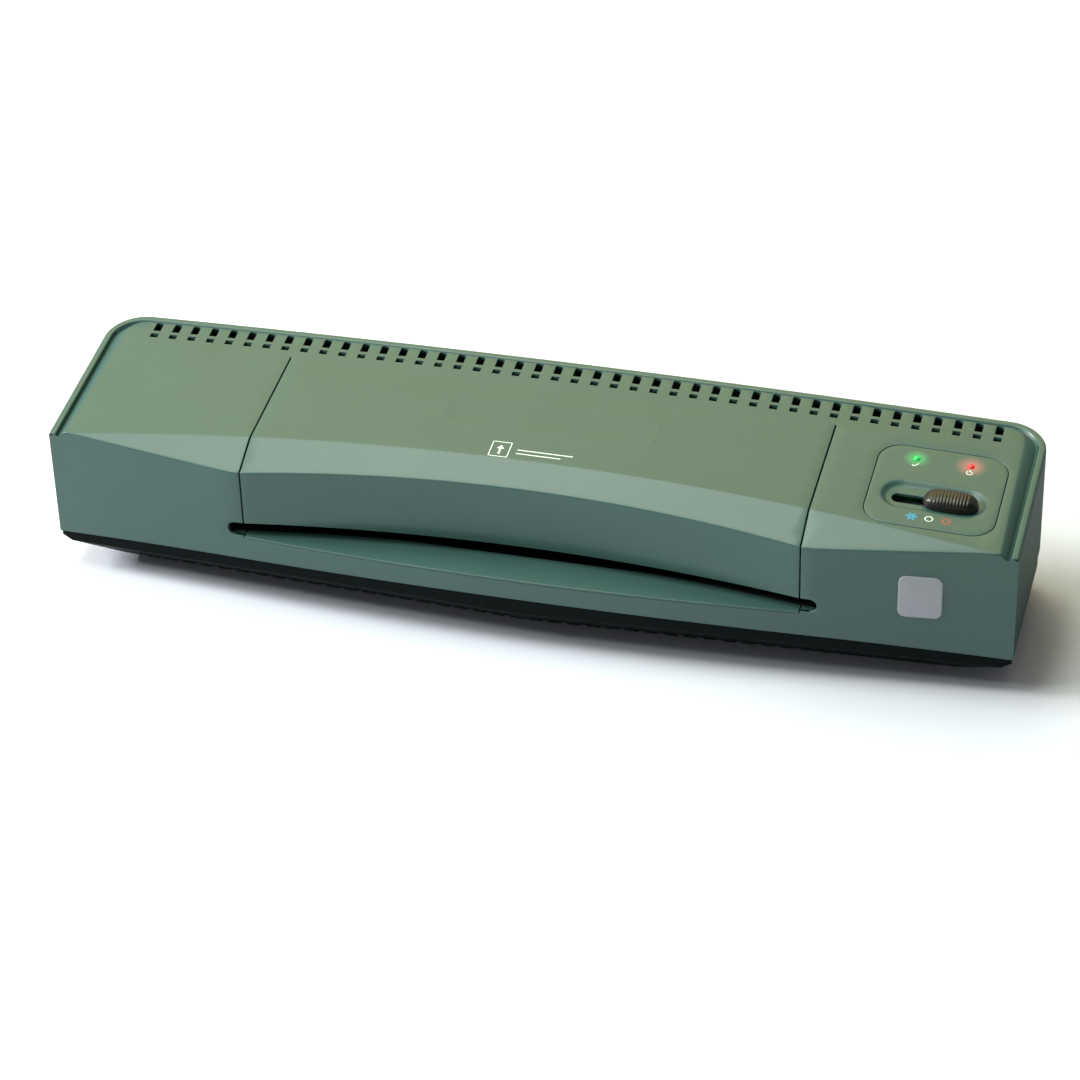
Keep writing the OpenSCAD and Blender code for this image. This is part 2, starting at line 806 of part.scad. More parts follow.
module lower_heat_core() { roller_core(heat_y, low_z); }
module lower_heat_sleeve() { roller_sleeve(heat_y, low_z); }
module lower_heat_gear() { roller_gear(heat_y, low_z, 0); }
module upper_heat_core() { roller_core(heat_y, -low_z); }
module upper_heat_sleeve() { roller_sleeve(heat_y, -low_z); }
module upper_heat_gear() { roller_gear(heat_y, -low_z, half_tooth); }
module lower_pull_core() { roller_core(pull_y, low_z); }
module lower_pull_sleeve() { roller_sleeve(pull_y, low_z); }
module lower_pull_gear() { roller_gear(pull_y, low_z, 0); }
module upper_pull_core() { roller_core(pull_y, -low_z); }
module upper_pull_sleeve() { roller_sleeve(pull_y, -low_z); }
module upper_pull_gear() { roller_gear(pull_y, -low_z, half_tooth); }

module idler_pin() {
    color(steel_c) place() translate([0, idler_y, low_z]) rotate([0, -90, 0]) {
        translate([0, 0, frame_x]) cylinder(r = 3, h = -gear_x - frame_x + gear_t + 0.5, $fn = 48);
        translate([0, 0, -gear_x + gear_t + 0.5]) cylinder(r = 4.5, h = 1.2, $fn = 48);
    }
}

module idler_gear() {
    color([0.90, 0.88, 0.80]) place() translate([gear_x - gear_t, idler_y, low_z])
        gear(idler_teeth, 180 / idler_teeth, 3 + bearing_clearance, gear_t);
}

module motor_shaft() {
    color(steel_c) place() translate([motor_x, idler_y, pinion_z]) rotate([0, 90, 0])
        translate([0, 0, -10]) cylinder(r = shaft_r, h = 10 + gear_x - motor_x, $fn = 48);
}

module motor_pinion() {
    color([0.72, 0.58, 0.30]) place() translate([gear_x - gear_t, idler_y, pinion_z])
        gear(pinion_teeth, 0, shaft_r, gear_t);
}

// ---------- mode switch ----------

// The knob rests at hot, the right-hand end of its travel
module at_knob() {
    place() panel_frame() translate([slide_travel / 2, knob_v, -dish_depth + knob_lift]) children();
}

module slider_knob() {
    color([0.20, 0.20, 0.17]) at_knob() {
        difference() {
            hull() {
                linear_extrude(4) rounded_rect([knob_l, knob_w], knob_w / 2 - 0.01, $fn = 48);
                linear_extrude(knob_h) rounded_rect([knob_l - 5, knob_w - 4], knob_w / 2 - 2.01);
            }
            for (i = [-5:5]) translate([i * 1.7 - 0.35, -knob_w, knob_h - 0.5])
                cube([0.7, 2 * knob_w, 2]);
        }
        translate([-3.5, -2.4, -5.5]) cube([7, 4.8, 5.5]);
    }
}

module switch_lever() {
    lever_foot = switch_w + 3.4 + dish_depth - knob_lift;
    color([0.9, 0.9, 0.88]) at_knob() translate([-2.5, -1.8, lever_foot])
        cube([5, 3.6, -5.5 - lever_foot]);
}

main_housing();
centre_cover();
feed_shelf();
base_tray();
control_panel();
ready_lens();
power_lens();
badge();
rubber_feet();
housing_screws();
cord_gland();
left_frame();
right_frame();
tie_rods();
motor_plate();
frame_screws();
lower_bearings();
upper_bearing_blocks();
pressure_springs();
lower_heater_plate();
upper_heater_plate();
lower_heating_element();
upper_heating_element();
thermostat();
thermal_fuse();
lower_infeed_guide();
upper_infeed_guide();
lower_exit_guide();
upper_exit_guide();
circuit_board();
board_posts();
slide_switch();
relay();
terminal_block();
gear_motor();
lower_heat_core();
lower_heat_sleeve();
lower_heat_gear();
upper_heat_core();
upper_heat_sleeve();
upper_heat_gear();
lower_pull_core();
lower_pull_sleeve();
lower_pull_gear();
upper_pull_core();
upper_pull_sleeve();
upper_pull_gear();
idler_pin();
idler_gear();
motor_shaft();
motor_pinion();
slider_knob();
switch_lever();
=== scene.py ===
"""The looks of a pouch laminator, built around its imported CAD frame.

Shapes are worked out in millimetres in the machine's own axes: x along the length from
the middle, y behind the flat front strips, z above the middle of the feeding slot. at()
turns such a point into the frame's metres."""
import json
import math

import bpy
from mathutils import Euler, Matrix, Vector
from mathutils.geometry import delaunay_2d_cdt
from mathutils.kdtree import KDTree

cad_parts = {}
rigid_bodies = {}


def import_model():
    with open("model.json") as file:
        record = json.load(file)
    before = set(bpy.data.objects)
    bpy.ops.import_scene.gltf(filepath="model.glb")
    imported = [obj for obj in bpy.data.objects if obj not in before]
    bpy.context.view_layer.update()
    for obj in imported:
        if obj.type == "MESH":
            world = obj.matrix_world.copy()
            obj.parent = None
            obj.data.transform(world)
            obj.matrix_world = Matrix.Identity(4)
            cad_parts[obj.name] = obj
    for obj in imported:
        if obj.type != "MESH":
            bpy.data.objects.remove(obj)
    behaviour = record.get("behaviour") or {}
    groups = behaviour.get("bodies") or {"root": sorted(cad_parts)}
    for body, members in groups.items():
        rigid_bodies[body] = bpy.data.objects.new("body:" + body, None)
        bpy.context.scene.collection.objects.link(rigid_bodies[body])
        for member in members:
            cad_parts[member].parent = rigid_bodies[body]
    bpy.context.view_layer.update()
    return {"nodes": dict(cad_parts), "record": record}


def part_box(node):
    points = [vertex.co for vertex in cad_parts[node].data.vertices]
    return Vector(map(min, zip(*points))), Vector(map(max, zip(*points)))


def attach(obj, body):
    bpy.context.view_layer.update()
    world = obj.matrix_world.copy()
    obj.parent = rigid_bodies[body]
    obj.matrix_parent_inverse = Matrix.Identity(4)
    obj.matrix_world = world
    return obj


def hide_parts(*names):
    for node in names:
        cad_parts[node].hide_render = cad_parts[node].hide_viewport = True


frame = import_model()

MM = 0.001
nodes = frame["nodes"]

# ---------------------------------------------------------------- driving sizes, in mm
house_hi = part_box("main_housing")[1]
shelf_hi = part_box("feed_shelf")[1]

END_X = house_hi.x / MM
DEPTH = 118.0
CORNER_R = 21.0
WALL = 2.0
# a face with more of its normal along x than this belongs to an end, and takes the darker end
# material that paints shade on it
END_NORMAL = 0.8
# each gap, between the cover and the ends and round the panel, is centred on its line
GAP = 0.7
SEAM_X = 150.1
COVER_REAR = 92.0
COVER_SHORT = 0.06
HOUSE_SEAM = SEAM_X + GAP / 2
COVER_SEAM = SEAM_X - GAP / 2

# the flat front strips run from the seams to STRIP_X, and the end faces fall back from there
STRIP_X = SEAM_X + 7
SET_BACK = 9.4
FACE_SLOPE = SET_BACK / (END_X - STRIP_X)
FRONT_BOW = FACE_SLOPE * STRIP_X / 2
FASCIA_DIP = 12.1
FRONT = house_hi.y - DEPTH * MM

# the feeding slot, its floor and the black guide behind that, whose black is carried forwards as
# painted shade inside the slot
SLOT_TOP = 3.8
SHELF_Z = -4.0
SLOT_Z = shelf_hi.z - SHELF_Z * MM
SLOT_MID = (SLOT_TOP + SHELF_Z) / 2
SLOT_R = (SLOT_TOP - SHELF_Z) / 2
SLOT_HALF = 159.0
SHELF_REAR = (shelf_hi.y - FRONT) / MM
NOSE = 1.0
NOSE_GAP = 0.04
NOSE_DEEP = 1.8
LIP_DEEP = 5.0
LIP_T = 2.2
LIP_SHORT = 0.6
LEDGE_SET_BACK = 0.6
GUIDE_DROP = 0.3
GUIDE_GAP = 0.02
GUIDE_SHORT = 0.5

# surfaces: height at the front's middle, rise per mm of depth, and bow with x squared
TOP = (45.7, 0.075, -7.32e-5)
FACET = (34.9, 0.459, 5.03e-5)
RIM = (43.0, 0.082, -6e-5)
SKIRT = (-15.7, 0.091, -1.4175e-4)
CREASE_SOFT = 0.35

# radii of the mouldings' edges
FRONT_R = 0.7
RIM_R = 1.3
SEAM_R = 0.35
SLOT_EDGE_R = 0.5
SKIRT_R = 0.5
VENT_R = 0.3
PANEL_R = 0.28
STEM_EDGE_R = 0.4
LENS_EDGE_R = 0.3

# rim, groove and roll-off, as distances in from the outer edge; the roll-off widens
# towards the rear over ROLL_RUN
RIM_IN = 3.4
GROOVE = 5.3
GROOVE_DROP = 2.2
ROLL_W_FRONT = 4.3
ROLL_W_SIDE = 7.0
ROLL_W_REAR = 2.2
ROLL_RUN = 100
ROLL_BEND = 1.5

# vents, each a low and a high hole with a sloping bridge between
VENTS = 44
VENT_PITCH = 10.83
VENT_W = 4.1
VENT_SHIFT = 1.3
VENT_LOW = (97.7, 101.2)
VENT_HIGH = (103.5, 109.2)
BRIDGE_SUNK = 0.5
BRIDGE_FALL = 1.3

# raised outline on the cover
EMBOSS = (2.5, 63.5)
EMBOSS_HALF = (57.5, 11.5)
EMBOSS_R = 8
EMBOSS_W = 0.7
EMBOSS_HIGH = 0.05

# control panel
PANEL = (210.4, 51.3)
PANEL_SIZE = (67.6, 64.0)
PANEL_CORNER = 12.5
PANEL_T = 1.6
DISH = (210.4, 44.0)
DISH_HALF = (28.0, 11.6)
DISH_R = DISH_HALF[1] - 0.1
DISH_SLOPE = 3.6
DISH_DEPTH = 1.8
KNOB_Y = 42.8
KNOB_CLEAR = 0.35
STEM = (DISH[0], KNOB_Y)
STEM_HALF = (21.5, 3.5)
STEM_R = STEM_HALF[1] - 0.05
LENS_DX = 14.2
LENS_Y = 74.0
LENS_R = 1.75
LENS_HOLE_R = LENS_R + 0.15
LENS_DOME = ((1, -1.2), (1, 0.2), (0.93, 0.5), (0.75, 0.8), (0.45, 1.02))
TRAVEL = 17.8

# badge on the right front, with its middle in x and z
BADGE = (211.5, 11.3)
BADGE_HALF = (11.25, 12.75)
BADGE_R = 4

# rows and places of the printed symbols, in plan
LENS_MARK_Y = 68.6
SWITCH_MARK_Y = 27.2
COLD_X, OFF_X, HOT_X = 201.9, 210.8, 219.6
INK_LIFT = INK_T = 0.03

# TINY is the slack between numbers meant to be equal. ALMOST keeps a corner's radius
# below half the width. NO_SEAM and SKIRT_PAST stand for well away from the seams and
# below the skirt.
TINY = 1e-6
ALMOST = 0.01
NO_SEAM = 9.0
SKIRT_PAST = -22

# meshing: points closer than 1 / KEY m are one; the rest are spacings, along lines and
# then over sheets
KEY = 1e7
FINE, MIDDLE, COARSE = 3.0, 4.0, 5.0
TOP_STEP = 6.0
WALL_STEP = 5.0
PANEL_STEP = 3.0


def at(x, y, z):
    return Vector((x * MM, FRONT + y * MM, SLOT_Z + z * MM))


# ---------------------------------------------------------------- surfaces of the casing
def smooth_min(a, b, k):
    h = max(k - abs(a - b), 0) / k
    return min(a, b) - h * h * k / 4


def bowed(surface, x, y):
    height, rise, bow = surface
    return height + rise * y + bow * x * x


def crease_y(x):
    """Where the top and its front facet meet."""
    return (TOP[0] - FACET[0] - (FACET[2] - TOP[2]) * x * x) / (FACET[1] - TOP[1])


def skirt_z(x, y):
    return bowed(SKIRT, x, y)


def end_face_y(x):
    return FACE_SLOPE * (abs(x) - STRIP_X)


def upper_y(x):
    """Front of the casing above the slot."""
    if abs(x) <= SEAM_X:
        return FASCIA_DIP * (1 - (x / SEAM_X) ** 2)
    return max(0.0, end_face_y(x))


def lower_y(x):
    """Front of the casing below the slot, where the end faces run on into a bow."""
    if abs(x) < STRIP_X:
        return -FRONT_BOW * (1 - (x / STRIP_X) ** 2)
    return end_face_y(x)


def edge_in(x, y):
    """Distance in from the ends and the rear, and the direction inwards."""
    ax, s = abs(x), math.copysign(1, x)
    cx, cy = END_X - CORNER_R, DEPTH - CORNER_R
    if ax > cx and y > cy:
        r = math.hypot(ax - cx, y - cy)
        return CORNER_R - r, (-s * (ax - cx) / r, -(y - cy) / r)
    if END_X - ax < DEPTH - y:
        return END_X - ax, (-s, 0.0)
    return DEPTH - y, (0.0, -1.0)


def lip(distance, radius):
    """Depth of a rounded edge at that distance from it."""
    k = 1 - min(max(distance / radius, 0), 1)
    return radius * (1 - math.sqrt(max(0.0, 1 - k * k)))


def lip_rows(radius, steps=3):
    """Distances in from an edge at which its rounding needs a row of points."""
    return [radius * (1 - math.cos(math.pi / 2 * i / steps)) for i in range(steps + 1)]


def roll_width(y, lean):
    """Width of the roll-off. lean is 0 at the ends and 1 or -1 along the rear."""
    side = ROLL_W_FRONT + (ROLL_W_SIDE - ROLL_W_FRONT) * min(max(y / ROLL_RUN, 0), 1)
    return side + (ROLL_W_REAR - side) * lean * lean


def section_z(x, y):
    """Top of the casing with its rim, groove and roll-off, before edges are rounded."""
    top = smooth_min(bowed(TOP, x, y), bowed(FACET, x, y), CREASE_SOFT)
    d, inwards = edge_in(x, y)
    width = roll_width(y, inwards[1])
    if d >= GROOVE + width:
        return top
    rim = bowed(RIM, x, y)
    if d <= RIM_IN:
        return rim
    if d < GROOVE:
        t = (d - RIM_IN) / (GROOVE - RIM_IN)
        return rim - GROOVE_DROP * t * t * (3 - 2 * t)
    t = (d - GROOVE) / width
    low = rim - GROOVE_DROP
    return low + (top - low) * (1 - (1 - t) ** ROLL_BEND)


# ---------------------------------------------------------------- meshing
def key_of(point):
    return tuple(round(c * KEY) for c in point)


def tight(ids):
    """ids without repeats in a row, or nothing if fewer than three are left."""
    ids = [i for n, i in enumerate(ids) if i != ids[n - 1]]
    return ids if len(set(ids)) > 2 else []


class Shell:
    """Outer faces whose points each have an inner partner; close() makes the solid."""

    def __init__(self):
        self.ids, self.outer, self.inner, self.faces = {}, [], [], []

    def point(self, outer, inner):
        key = key_of(outer)
        if key not in self.ids:
            self.ids[key] = len(self.outer)
            self.outer.append(outer)
            self.inner.append(inner)
        return self.ids[key]

    def face(self, ids):
        ids = tight(ids)
        if ids:
            self.faces.append(ids)

    def close(self):
        verts, faces = list(self.outer), [list(f) for f in self.faces]
        seen, back = {}, []
        for p in self.inner:
            key = key_of(p)
            if key not in seen:
                seen[key] = len(verts)
                verts.append(p)
            back.append(seen[key])
        edges = {}
        for f in self.faces:
            faces.append(tight([back[i] for i in reversed(f)]))
            for edge in zip(f, f[1:] + f[:1]):
                edges[edge] = True
        for a, b in edges:
            if (b, a) not in edges:
                faces.append(tight([b, a, back[a], back[b]]))
        return verts, [f for f in faces if f]


def make(
    name, verts, faces, material, body="casing", replaces=(), slot=None, sharp=38, ends=None
):
    """A piece of the visual model. sharp is the least angle of a hard edge, in degrees, and
    ends is a second material, darker, which paints shade on the faces that look along x."""
    mesh = bpy.data.meshes.new(name)
    mesh.from_pydata([tuple(v) for v in verts], [], faces)
    mesh.validate()
    mesh.shade_smooth()
    mesh.set_sharp_from_angle(angle=math.radians(sharp))
    mesh.materials.append(material)
    # faces that look along x get the darker end material, which is painted shade
    if ends:
        mesh.materials.append(ends)
        for polygon in mesh.polygons:
            polygon.material_index = int(abs(polygon.normal.x) > END_NORMAL)
    piece = bpy.data.objects.new(name, mesh)
    bpy.context.scene.collection.objects.link(piece)
    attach(piece, body)
    if replaces:
        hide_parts(*replaces)


def parted(faces, walls):
    """The faces in groups that the walls, which are pairs of points, part from each other."""
    beside = {}
    for n, f in enumerate(faces):
        for pair in zip(f, f[1:] + f[:1]):
            beside.setdefault(frozenset(pair), []).append(n)
    reached, groups = set(), []
    for seed in range(len(faces)):
        if seed in reached:
            continue
        reached.add(seed)
        found, todo = [], [seed]
        while todo:
            f = faces[todo.pop()]
            found.append(f)
            for pair in map(frozenset, zip(f, f[1:] + f[:1])):
                if pair in walls:
                    continue
                for m in beside[pair]:
                    if m not in reached:
                        reached.add(m)
                        todo.append(m)
        groups.append(found)
    return groups


def triangulate(lines, spacing):
    """Triangles of a plane region. lines are (points, is_edge) pairs; an edge bounds the
    region or a hole in it. Returns the points and the groups of triangles that the
    edges part from each other."""
    points, links, is_edge = [], [], []
    for line, edge in lines:
        start = len(points)
        points += [Vector(p) for p in line]
        for i in range(start, len(points) - 1):
            links.append((i, i + 1))
            is_edge.append(edge)
    tree = KDTree(len(points))
    for i, p in enumerate(points):
        tree.insert((p.x, p.y, 0), i)
    tree.balance()
    low = [min(p[k] for p in points) for k in (0, 1)]
    high = [max(p[k] for p in points) for k in (0, 1)]
    # staggered rows of points fill the region, a little clear of the lines
    clear, row_height = 0.62 * spacing, 0.87 * spacing
    row = 0
    y = low[1] + spacing / 2
    while y < high[1]:
        x = low[0] + spacing * (0.5 if row % 2 else 1)
        while x < high[0]:
            if tree.find((x, y, 0))[2] > clear:
                points.append(Vector((x, y)))
            x += spacing
        y += row_height
        row += 1
    same_point = 1e-5
    verts, edges, faces, _, sources, _ = delaunay_2d_cdt(points, links, [], 0, same_point, True)
    walls = set()
    for pair, source in zip(edges, sources):
        if any(is_edge[k] for k in source if k < len(is_edge)):
            walls.add(frozenset(pair))
    return verts, parted(faces, walls)


def add_sheet(shell, lines, inside, lift, spacing=TOP_STEP):
    """Adds to shell the part of the plane for which inside() is true, lifted to space."""
    verts, groups = triangulate(lines, spacing)

    def size(f):
        a, b, c = (verts[i] for i in f[:3])
        return abs((b - a).cross(c - a))

    for found in groups:
        biggest = max(found, key=size)
        middle = sum((verts[i] for i in biggest), Vector((0, 0))) / len(biggest)
        if not inside(middle.x, middle.y):
            continue
        ids = {}
        for f in found:
            for i in f:
                if i not in ids:
                    ids[i] = shell.point(*lift(verts[i].x, verts[i].y))
            shell.face([ids[i] for i in f])


def spread(a, b, spacing, *extra):
    """Values from a to b at about that spacing, with the extra ones among them."""
    crowd = 0.3 * spacing
    n = max(1, round(abs(b - a) / spacing))
    values = [a + (b - a) * i / n for i in range(n + 1)]
    low, high = min(a, b), max(a, b)
    for e in extra:
        if low < e < high:
            values = [v for v in values if abs(v - e) > crowd or v in (a, b)]
    values += [e for e in extra if low < e < high]
    return sorted(set(values), reverse=b < a)


def rounded_rect(c, half, r, steps=8):
    """A closed loop of points, counter-clockwise."""
    points = []
    for k, (sx, sy) in enumerate([(1, -1), (1, 1), (-1, 1), (-1, -1)]):
        for i in range(steps + 1):
            a = math.radians(-90 + 90 * k + 90 * i / steps)
            cx, cy = c[0] + sx * (half[0] - r), c[1] + sy * (half[1] - r)
            points.append((cx + r * math.cos(a), cy + r * math.sin(a)))
    points.append(points[0])
    loop = points[:1]
    for a, b in zip(points, points[1:]):
        n = max(1, round(math.dist(a, b) / COARSE))
        for k in range(1, n + 1):
            loop.append((a[0] + (b[0] - a[0]) * k / n, a[1] + (b[1] - a[1]) * k / n))
    return loop


def rect_distance(x, y, c, half, r):
    """Distance outside a rounded rectangle, negative inside it."""
    qx, qy = abs(x - c[0]) - half[0] + r, abs(y - c[1]) - half[1] + r
    return math.hypot(max(qx, 0), max(qy, 0)) + min(max(qx, qy), 0) - r


# ---------------------------------------------------------------- vents
def vent_x(i):
    return VENT_PITCH * (i - (VENTS - 1) / 2) + VENT_SHIFT


def nearest_vent(x):
    i = round((x - VENT_SHIFT) / VENT_PITCH + (VENTS - 1) / 2)
    return min(max(i, 0), VENTS - 1)


def vent_loops(i, o):
    """The two holes of a vent, o mm larger all round."""
    x, w = vent_x(i), VENT_W / 2 + o
    low = [(x - w, VENT_LOW[0] - o), (x + w, VENT_LOW[0] - o)]
    low += [(x + w, VENT_LOW[1] + o), (x - w, VENT_LOW[1] + o), (x - w, VENT_LOW[0] - o)]
    high = [(x - w, VENT_HIGH[0] - o), (x + w, VENT_HIGH[0] - o)]
    steps = 10
    for k in range(steps + 1):
        a = math.pi * k / steps
        high.append((x + w * math.cos(a), VENT_HIGH[1] + w * math.sin(a)))
    high.append((x - w, VENT_HIGH[0] - o))
    return low, high


def vent_distance(x, y):
    """Distance outside the nearest vent's holes."""
    i = nearest_vent(x)
    xi, w = vent_x(i), VENT_W / 2
    found = []
    for y0, y1 in (VENT_LOW, VENT_HIGH):
        found.append(rect_distance(x, y, (xi, (y0 + y1) / 2), (w, (y1 - y0) / 2), ALMOST))
    found.append(math.hypot(x - xi, y - VENT_HIGH[1]) - w)
    return min(found)


def bridge_depth(x, y):
    """The bar across each vent slopes down towards the front."""
    i = nearest_vent(x)
    if abs(x - vent_x(i)) > VENT_W / 2 - 0.1 or not VENT_LOW[1] <= y <= VENT_HIGH[0]:
        return 0.0
    return BRIDGE_SUNK + BRIDGE_FALL * (VENT_HIGH[0] - y) / (VENT_HIGH[0] - VENT_LOW[1])


# ---------------------------------------------------------------- the casing's skins
def top_z(x, y):
    front = upper_y(x)
    return section_z(x, y) - lip(edge_in(x, y)[0], RIM_R) - lip(y - front, FRONT_R)


def top_lift(depth, seam):
    """Lift of a sheet in plan. depth and seam are functions of x and y: how far a point
    lies below the plain surface, and how far it is from the sheet's seams."""

    def lift(x, y):
        front = upper_y(x)
        f = y - front
        d, (nx, ny) = edge_in(x, y)
        turn = 1 - min(max(f / FRONT_R, 0), 1)
        rise = math.sqrt(max(0.0, 1 - turn * turn))
        edge = lip(seam(x, y), SEAM_R)
        outer = at(x, y + edge * turn, top_z(x, y) - edge * rise - depth(x, y))
        inward = max(WALL - d, 0)
        xi, yi = x + nx * inward, y + ny * inward
        yi = max(yi, upper_y(xi) + WALL)
        return outer, at(xi, yi, section_z(xi, yi) - WALL)

    return lift


def wall_lift(seam):
    """Lift of a sheet of the front wall, drawn in x and z."""

    def lift(x, z):
        y = upper_y(x) if z > 0 else lower_y(x)
        xo, yo = x, y
        foot = lip(z - skirt_z(x, y), SKIRT_R)
        slot = lip(slot_distance(x, z), SLOT_EDGE_R)
        edge = lip(seam(x, z), SEAM_R)
        if abs(x) > END_X - TINY:
            xo -= math.copysign(foot, x)
        xi = math.copysign(min(abs(x), END_X - WALL), x)
        zi = z
        if z > 0:
            zi = min(z, section_z(xi, upper_y(xi) + WALL) - WALL)
        return at(xo, yo + foot + slot + edge, z), at(xi, yo + WALL, zi)

    return lift


def slot_distance(x, z):
    """Distance outside the slot in the front wall."""
    if abs(x) < SEAM_X and z < 0:
        return SHELF_Z - NOSE - z
    return rect_distance(x, z, (0, SLOT_MID), (SLOT_HALF, SLOT_R), SLOT_R)


# rows of points across the rim, the groove and the roll-off
RIM_ROWS = lip_rows(RIM_R, 5)[1:] + [RIM_IN - 0.25, RIM_IN]
RIM_ROWS += [RIM_IN + (GROOVE - RIM_IN) * t for t in (0.25, 0.5, 0.75)] + [GROOVE]
ROLL_ROWS = (0.1, 0.22, 0.36, 0.5, 0.64, 0.78, 0.9, 1.0)
SIDE_YS = [SET_BACK + r for r in lip_rows(FRONT_R)]
SIDE_YS += spread(SET_BACK + 3, DEPTH - CORNER_R, COARSE)[:-1]
REAR_XS = spread(END_X - CORNER_R, -(END_X - CORNER_R), COARSE)
FRONT_XS = spread(HOUSE_SEAM, END_X, FINE, STRIP_X)


def u_path(d_of):
    """Points d_of(y, lean) mm in from the edge, from the right front round to the left."""
    cx, cy = END_X - CORNER_R, DEPTH - CORNER_R
    side = []
    for y in SIDE_YS:
        x = END_X - d_of(y, 0)
        side.append((x, y - SET_BACK + upper_y(x)))
    for a in range(0, 90, 6):
        t = math.radians(a)
        y = cy + CORNER_R * math.sin(t)
        r = CORNER_R - d_of(y, math.sin(t))
        side.append((cx + r * math.cos(t), cy + r * math.sin(t)))
    back = [(x, DEPTH - d_of(DEPTH, 1)) for x in REAR_XS]
    return side + back + [(-x, y) for x, y in reversed(side)]


def front_rows(xs):
    """Lines along the front fillet and the crease, over these x."""
    band = 2.5
    lines = []
    for r in lip_rows(FRONT_R)[1:] + [band]:
        lines.append(([(x, upper_y(x) + r) for x in xs], False))
    for o in (-1.2, -0.4, 0.4, 1.2):
        line = [(x, crease_y(x) + o) for x in xs if crease_y(x) + o > upper_y(x) + band + 0.1]
        if len(line) > 1:
            lines.append((line, False))
    return lines


def panel_distance(x, y):
    """Distance outside the control panel."""
    half = (PANEL_SIZE[0] / 2, PANEL_SIZE[1] / 2)
    return rect_distance(x, y, PANEL, half, PANEL_CORNER)


def panel_loop(o):
    half = (PANEL_SIZE[0] / 2 + o, PANEL_SIZE[1] / 2 + o)
    return rounded_rect(PANEL, half, PANEL_CORNER + o)


# ---------------------------------------------------------------- the housing
def wall_rows(x, y):
    """Heights of the points down the wall at (x, y), from the top to the rounded foot."""
    high, low = top_z(x, y), skirt_z(x, y)
    steps, foot = 10, 2
    rows = [high + (low + foot - high) * i / steps for i in range(steps + 1)]
    return rows + [low + r for r in reversed(lip_rows(SKIRT_R))]


def cover_gap(x, y):
    """Distance outside the opening for the centre cover."""
    return max(abs(x) - HOUSE_SEAM, y - COVER_REAR)


def housing_top(shell):
    """The top of both ends and the rear strip, with the vents and the panel's opening."""
    lines = [(u_path(lambda y, lean: 0), True)]
    front = [(x, upper_y(x)) for x in FRONT_XS]
    seam = [(HOUSE_SEAM, y) for y in spread(0, COVER_REAR, COARSE)]
    for line in (front, seam):
        lines += [(line, True), ([(-x, y) for x, y in line], True)]
    across = [(x, COVER_REAR) for x in spread(HOUSE_SEAM, -HOUSE_SEAM, COARSE)]
    lines.append((across, True))
    for d in RIM_ROWS:
        lines.append((u_path(lambda y, lean: d), False))
    for t in ROLL_ROWS:
        lines.append((u_path(lambda y, lean: GROOVE + t * roll_width(y, lean)), False))
    for s in (1, -1):
        lines += [([(s * x, y) for x, y in line], e) for line, e in front_rows(FRONT_XS)]
        for r in lip_rows(SEAM_R)[1:]:
            ys = spread(0, COVER_REAR + 2, COARSE)
            lines.append(([(s * (HOUSE_SEAM + r), y) for y in ys], False))
    for i in range(VENTS):
        for r in lip_rows(VENT_R):
            lines += [(loop, r == 0) for loop in vent_loops(i, r)]
    for r in lip_rows(PANEL_R):
        lines.append((panel_loop(GAP / 2 + r), r == 0))

    def inside(x, y):
        if edge_in(x, y)[0] <= 0 or y <= upper_y(x) or cover_gap(x, y) < 0:
            return False
        return vent_distance(x, y) > 0 and panel_distance(x, y) > GAP / 2

    def depth(x, y):
        drop = lip(vent_distance(x, y), VENT_R) + bridge_depth(x, y)
        return drop + lip(panel_distance(x, y) - GAP / 2, PANEL_R)

    def seams(x, y):
        if y < COVER_REAR + ALMOST:
            return abs(x) - HOUSE_SEAM
        return math.hypot(max(HOUSE_SEAM - abs(x), 0), y - COVER_REAR) + 1

    add_sheet(shell, lines, inside, top_lift(depth, seams))


def housing_front(shell):
    """The front wall, its slot and the foot of the skirt."""
    seam = HOUSE_SEAM
    middle_xs = spread(-seam, seam, MIDDLE)
    every_x = sorted([-x for x in FRONT_XS] + middle_xs[1:-1] + FRONT_XS)
    foot = [(x, skirt_z(x, lower_y(x))) for x in every_x]
    lines = []
    for r in lip_rows(SKIRT_R):
        lines.append(([(x, z + r) for x, z in foot], r == 0))
    seam_zs = spread(SLOT_TOP, top_z(seam, 0), MIDDLE)
    for s in (1, -1):
        lines.append(([(s * x, top_z(x, upper_y(x))) for x in FRONT_XS], True))
        lines.append(([(s * END_X, z) for z in wall_rows(END_X, SET_BACK)], True))
        lines.append(([(s * seam, z) for z in seam_zs], True))
        lines.append(([(s * seam, SHELF_Z), (s * seam, SHELF_Z - NOSE)], True))
        for r in lip_rows(SEAM_R)[1:]:
            lines.append(([(s * (seam + r), z) for z in seam_zs], False))
        for r in lip_rows(SLOT_EDGE_R):
            loop = [(s * seam, SLOT_TOP + r)]
            for a in range(90, -91, -15):
                x = SLOT_HALF - SLOT_R + (SLOT_R + r) * math.cos(math.radians(a))
                loop.append((s * x, SLOT_MID + (SLOT_R + r) * math.sin(math.radians(a))))
            loop.append((s * seam, SHELF_Z - r))
            lines.append((loop, r == 0))
    for r in lip_rows(SLOT_EDGE_R):
        lines.append(([(x, SHELF_Z - NOSE - r) for x in middle_xs], r == 0))
    # where the bow of the skirt meets the end faces, from under the slot to past the foot
    for x in (STRIP_X, -STRIP_X):
        lines.append(([(x, SHELF_Z - 0.6), (x, SKIRT_PAST)], False))

    def inside(x, z):
        y = upper_y(x) if z > 0 else lower_y(x)
        if z < skirt_z(x, lower_y(x)) or slot_distance(x, z) < 0:
            return False
        return z < 0 or (abs(x) > seam and z < top_z(x, y))

    def seams(x, z):
        return abs(x) - seam if z > SHELF_Z - NOSE and abs(x) > SEAM_X else NO_SEAM

    add_sheet(shell, lines, inside, wall_lift(seams), spacing=WALL_STEP)


